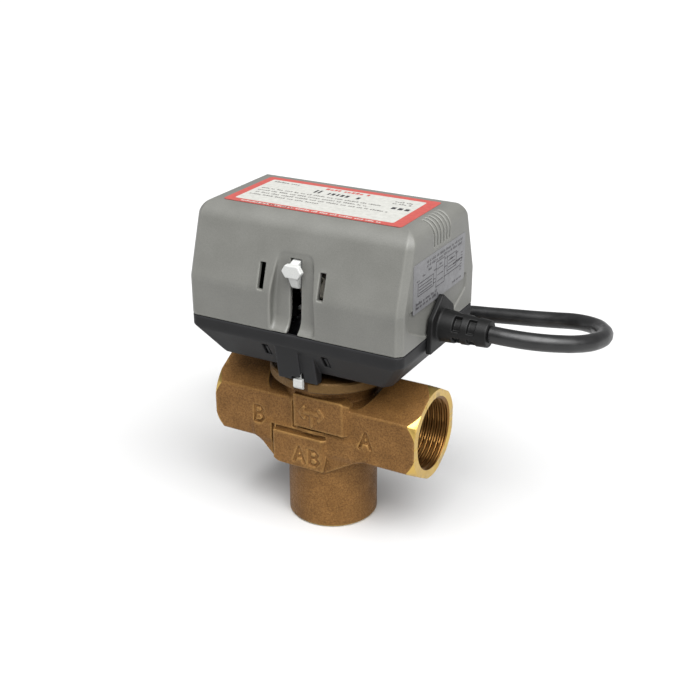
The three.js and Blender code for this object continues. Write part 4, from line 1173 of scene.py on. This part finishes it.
def make_cores(looks):
    """Three bare cores past the end of the sheath, each with a stripped tip of copper."""
    made = []
    start = COIL_START - TAIL_ANGLE - 0.02
    top = coil_height(COIL_TURNS - 1) + CABLE_RADIUS
    for i, colour in enumerate(("blue", "brown", "black")):
        points = []
        for k in range(8):
            share = k / 7 * 3
            radius = COIL_RADIUS + (i - 1) * 0.002 * (1 + 0.12 * share)
            lift = 0.0016 + (0.0024 if i % 2 else 0.0006) * (1 - 0.2 * share)
            points.append(on_coil(start - CORE_LENGTH / COIL_RADIUS * share / 3, top + lift, radius))
        core = tube_curve(f"{colour}_core_end", points[:7], 0.001, looks[f"lead_{colour}"])
        finish_piece(core, "actuator", f"lead_{colour}", f"{colour}_core")
        tip = tube_curve(f"{colour}_core_tip", points[6:], 0.0006, looks["copper"])
        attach(tip, "actuator")
        made += [core, tip]
    return made


def make_cable(looks):
    cable = tube_curve("power_cable", cable_route(), CABLE_RADIUS, looks["cable_black"])
    finish_piece(cable, "actuator", "cable_black", "cable_lead", "cable_coil", "cable_tail")
    tie = finish_piece(make_tie(looks["black_plastic"]), "actuator", "black_plastic", "cable_tie")
    make_cores(looks)


def dress_cad_nodes(looks):
    """Gives each CAD node that no piece replaces the finish of its slot in the record."""
    for part in frame["record"]["subparts"]:
        if part["node"] in replaced:
            continue
        node = frame["nodes"][part["node"]]
        slot = part["material_slot"]
        node.data.materials.clear()
        node.data.materials.append(looks[slot])
        node.data.polygons.foreach_set("material_index", np.zeros(len(node.data.polygons), np.int32))


# ---- floor and light -------------------------------------------------------------------------
FLOOR_HALF = 12000
FLOOR_DROP = 0.0002  # metres below the part, so that their faces never coincide
WORLD_BRIGHTNESS = 0.32
# Each lamp's azimuth and elevation in degrees, power, and width in degrees as seen from the part.
SUNS = {"key": (26, 63, 1.95, 62), "side": (78, 42, 0.7, 50)}


def stage():
    look = Look("floor", roughness=0.6, specular=0.2)
    look.set("Base Color", look.mix(look.noise(120, 2), linear(180, 180, 180), linear(184, 184, 184)))
    corners = [(-1, -1, 0), (1, -1, 0), (1, 1, 0), (-1, 1, 0)]
    floor = sheet_mesh("floor", np.array(corners) * FLOOR_HALF, [(0, 1, 2, 3)], [look.material])
    floor.location.z = -FLOOR_DROP


def studio():
    world = bpy.data.worlds.new("studio")
    world.use_nodes = True
    background = world.node_tree.nodes["Background"]
    background.inputs["Color"].default_value = (1, 1, 1, 1)
    background.inputs["Strength"].default_value = WORLD_BRIGHTNESS
    bpy.context.scene.world = world
    for name, (azimuth, elevation, power, width) in SUNS.items():
        data = bpy.data.lights.new(name, "SUN")
        data.energy = power * math.pi
        data.angle = math.radians(width)
        aimed(name, data, direction(azimuth, elevation))
    bpy.context.scene.view_settings.view_transform = "Standard"


make_camera()
looks = make_looks()
gland = finish_piece(make_gland(looks["black_plastic"]), "actuator", "black_plastic", "cable_gland")
make_cable(looks)
finish_piece(make_body(looks), "valve", "cast_brass", "valve_body")
# The bonnet takes the darkened cast brass, whose colour paints the actuator's shade over the collar.
finish_piece(make_bonnet(looks["machined_brass"]), "valve", "machined_brass", "bonnet")
finish_piece(make_base(looks["base_grey"]), "actuator", "base_grey", "base_housing")
finish_piece(make_cover(looks["cover_grey"]), "actuator", "cover_grey", "cover_housing")
finish_piece(make_top_label(looks), "actuator", "top_label", "top_label")
finish_piece(make_side_label(looks), "actuator", "wiring_label", "wiring_label")
finish_piece(make_lever(looks["white_plastic"]), "carriage", "white_plastic", "manual_lever")
finish_piece(make_latch(looks["white_plastic"]), "latch", "white_plastic", "release_latch")
dress_cad_nodes(looks)
stage()
studio()
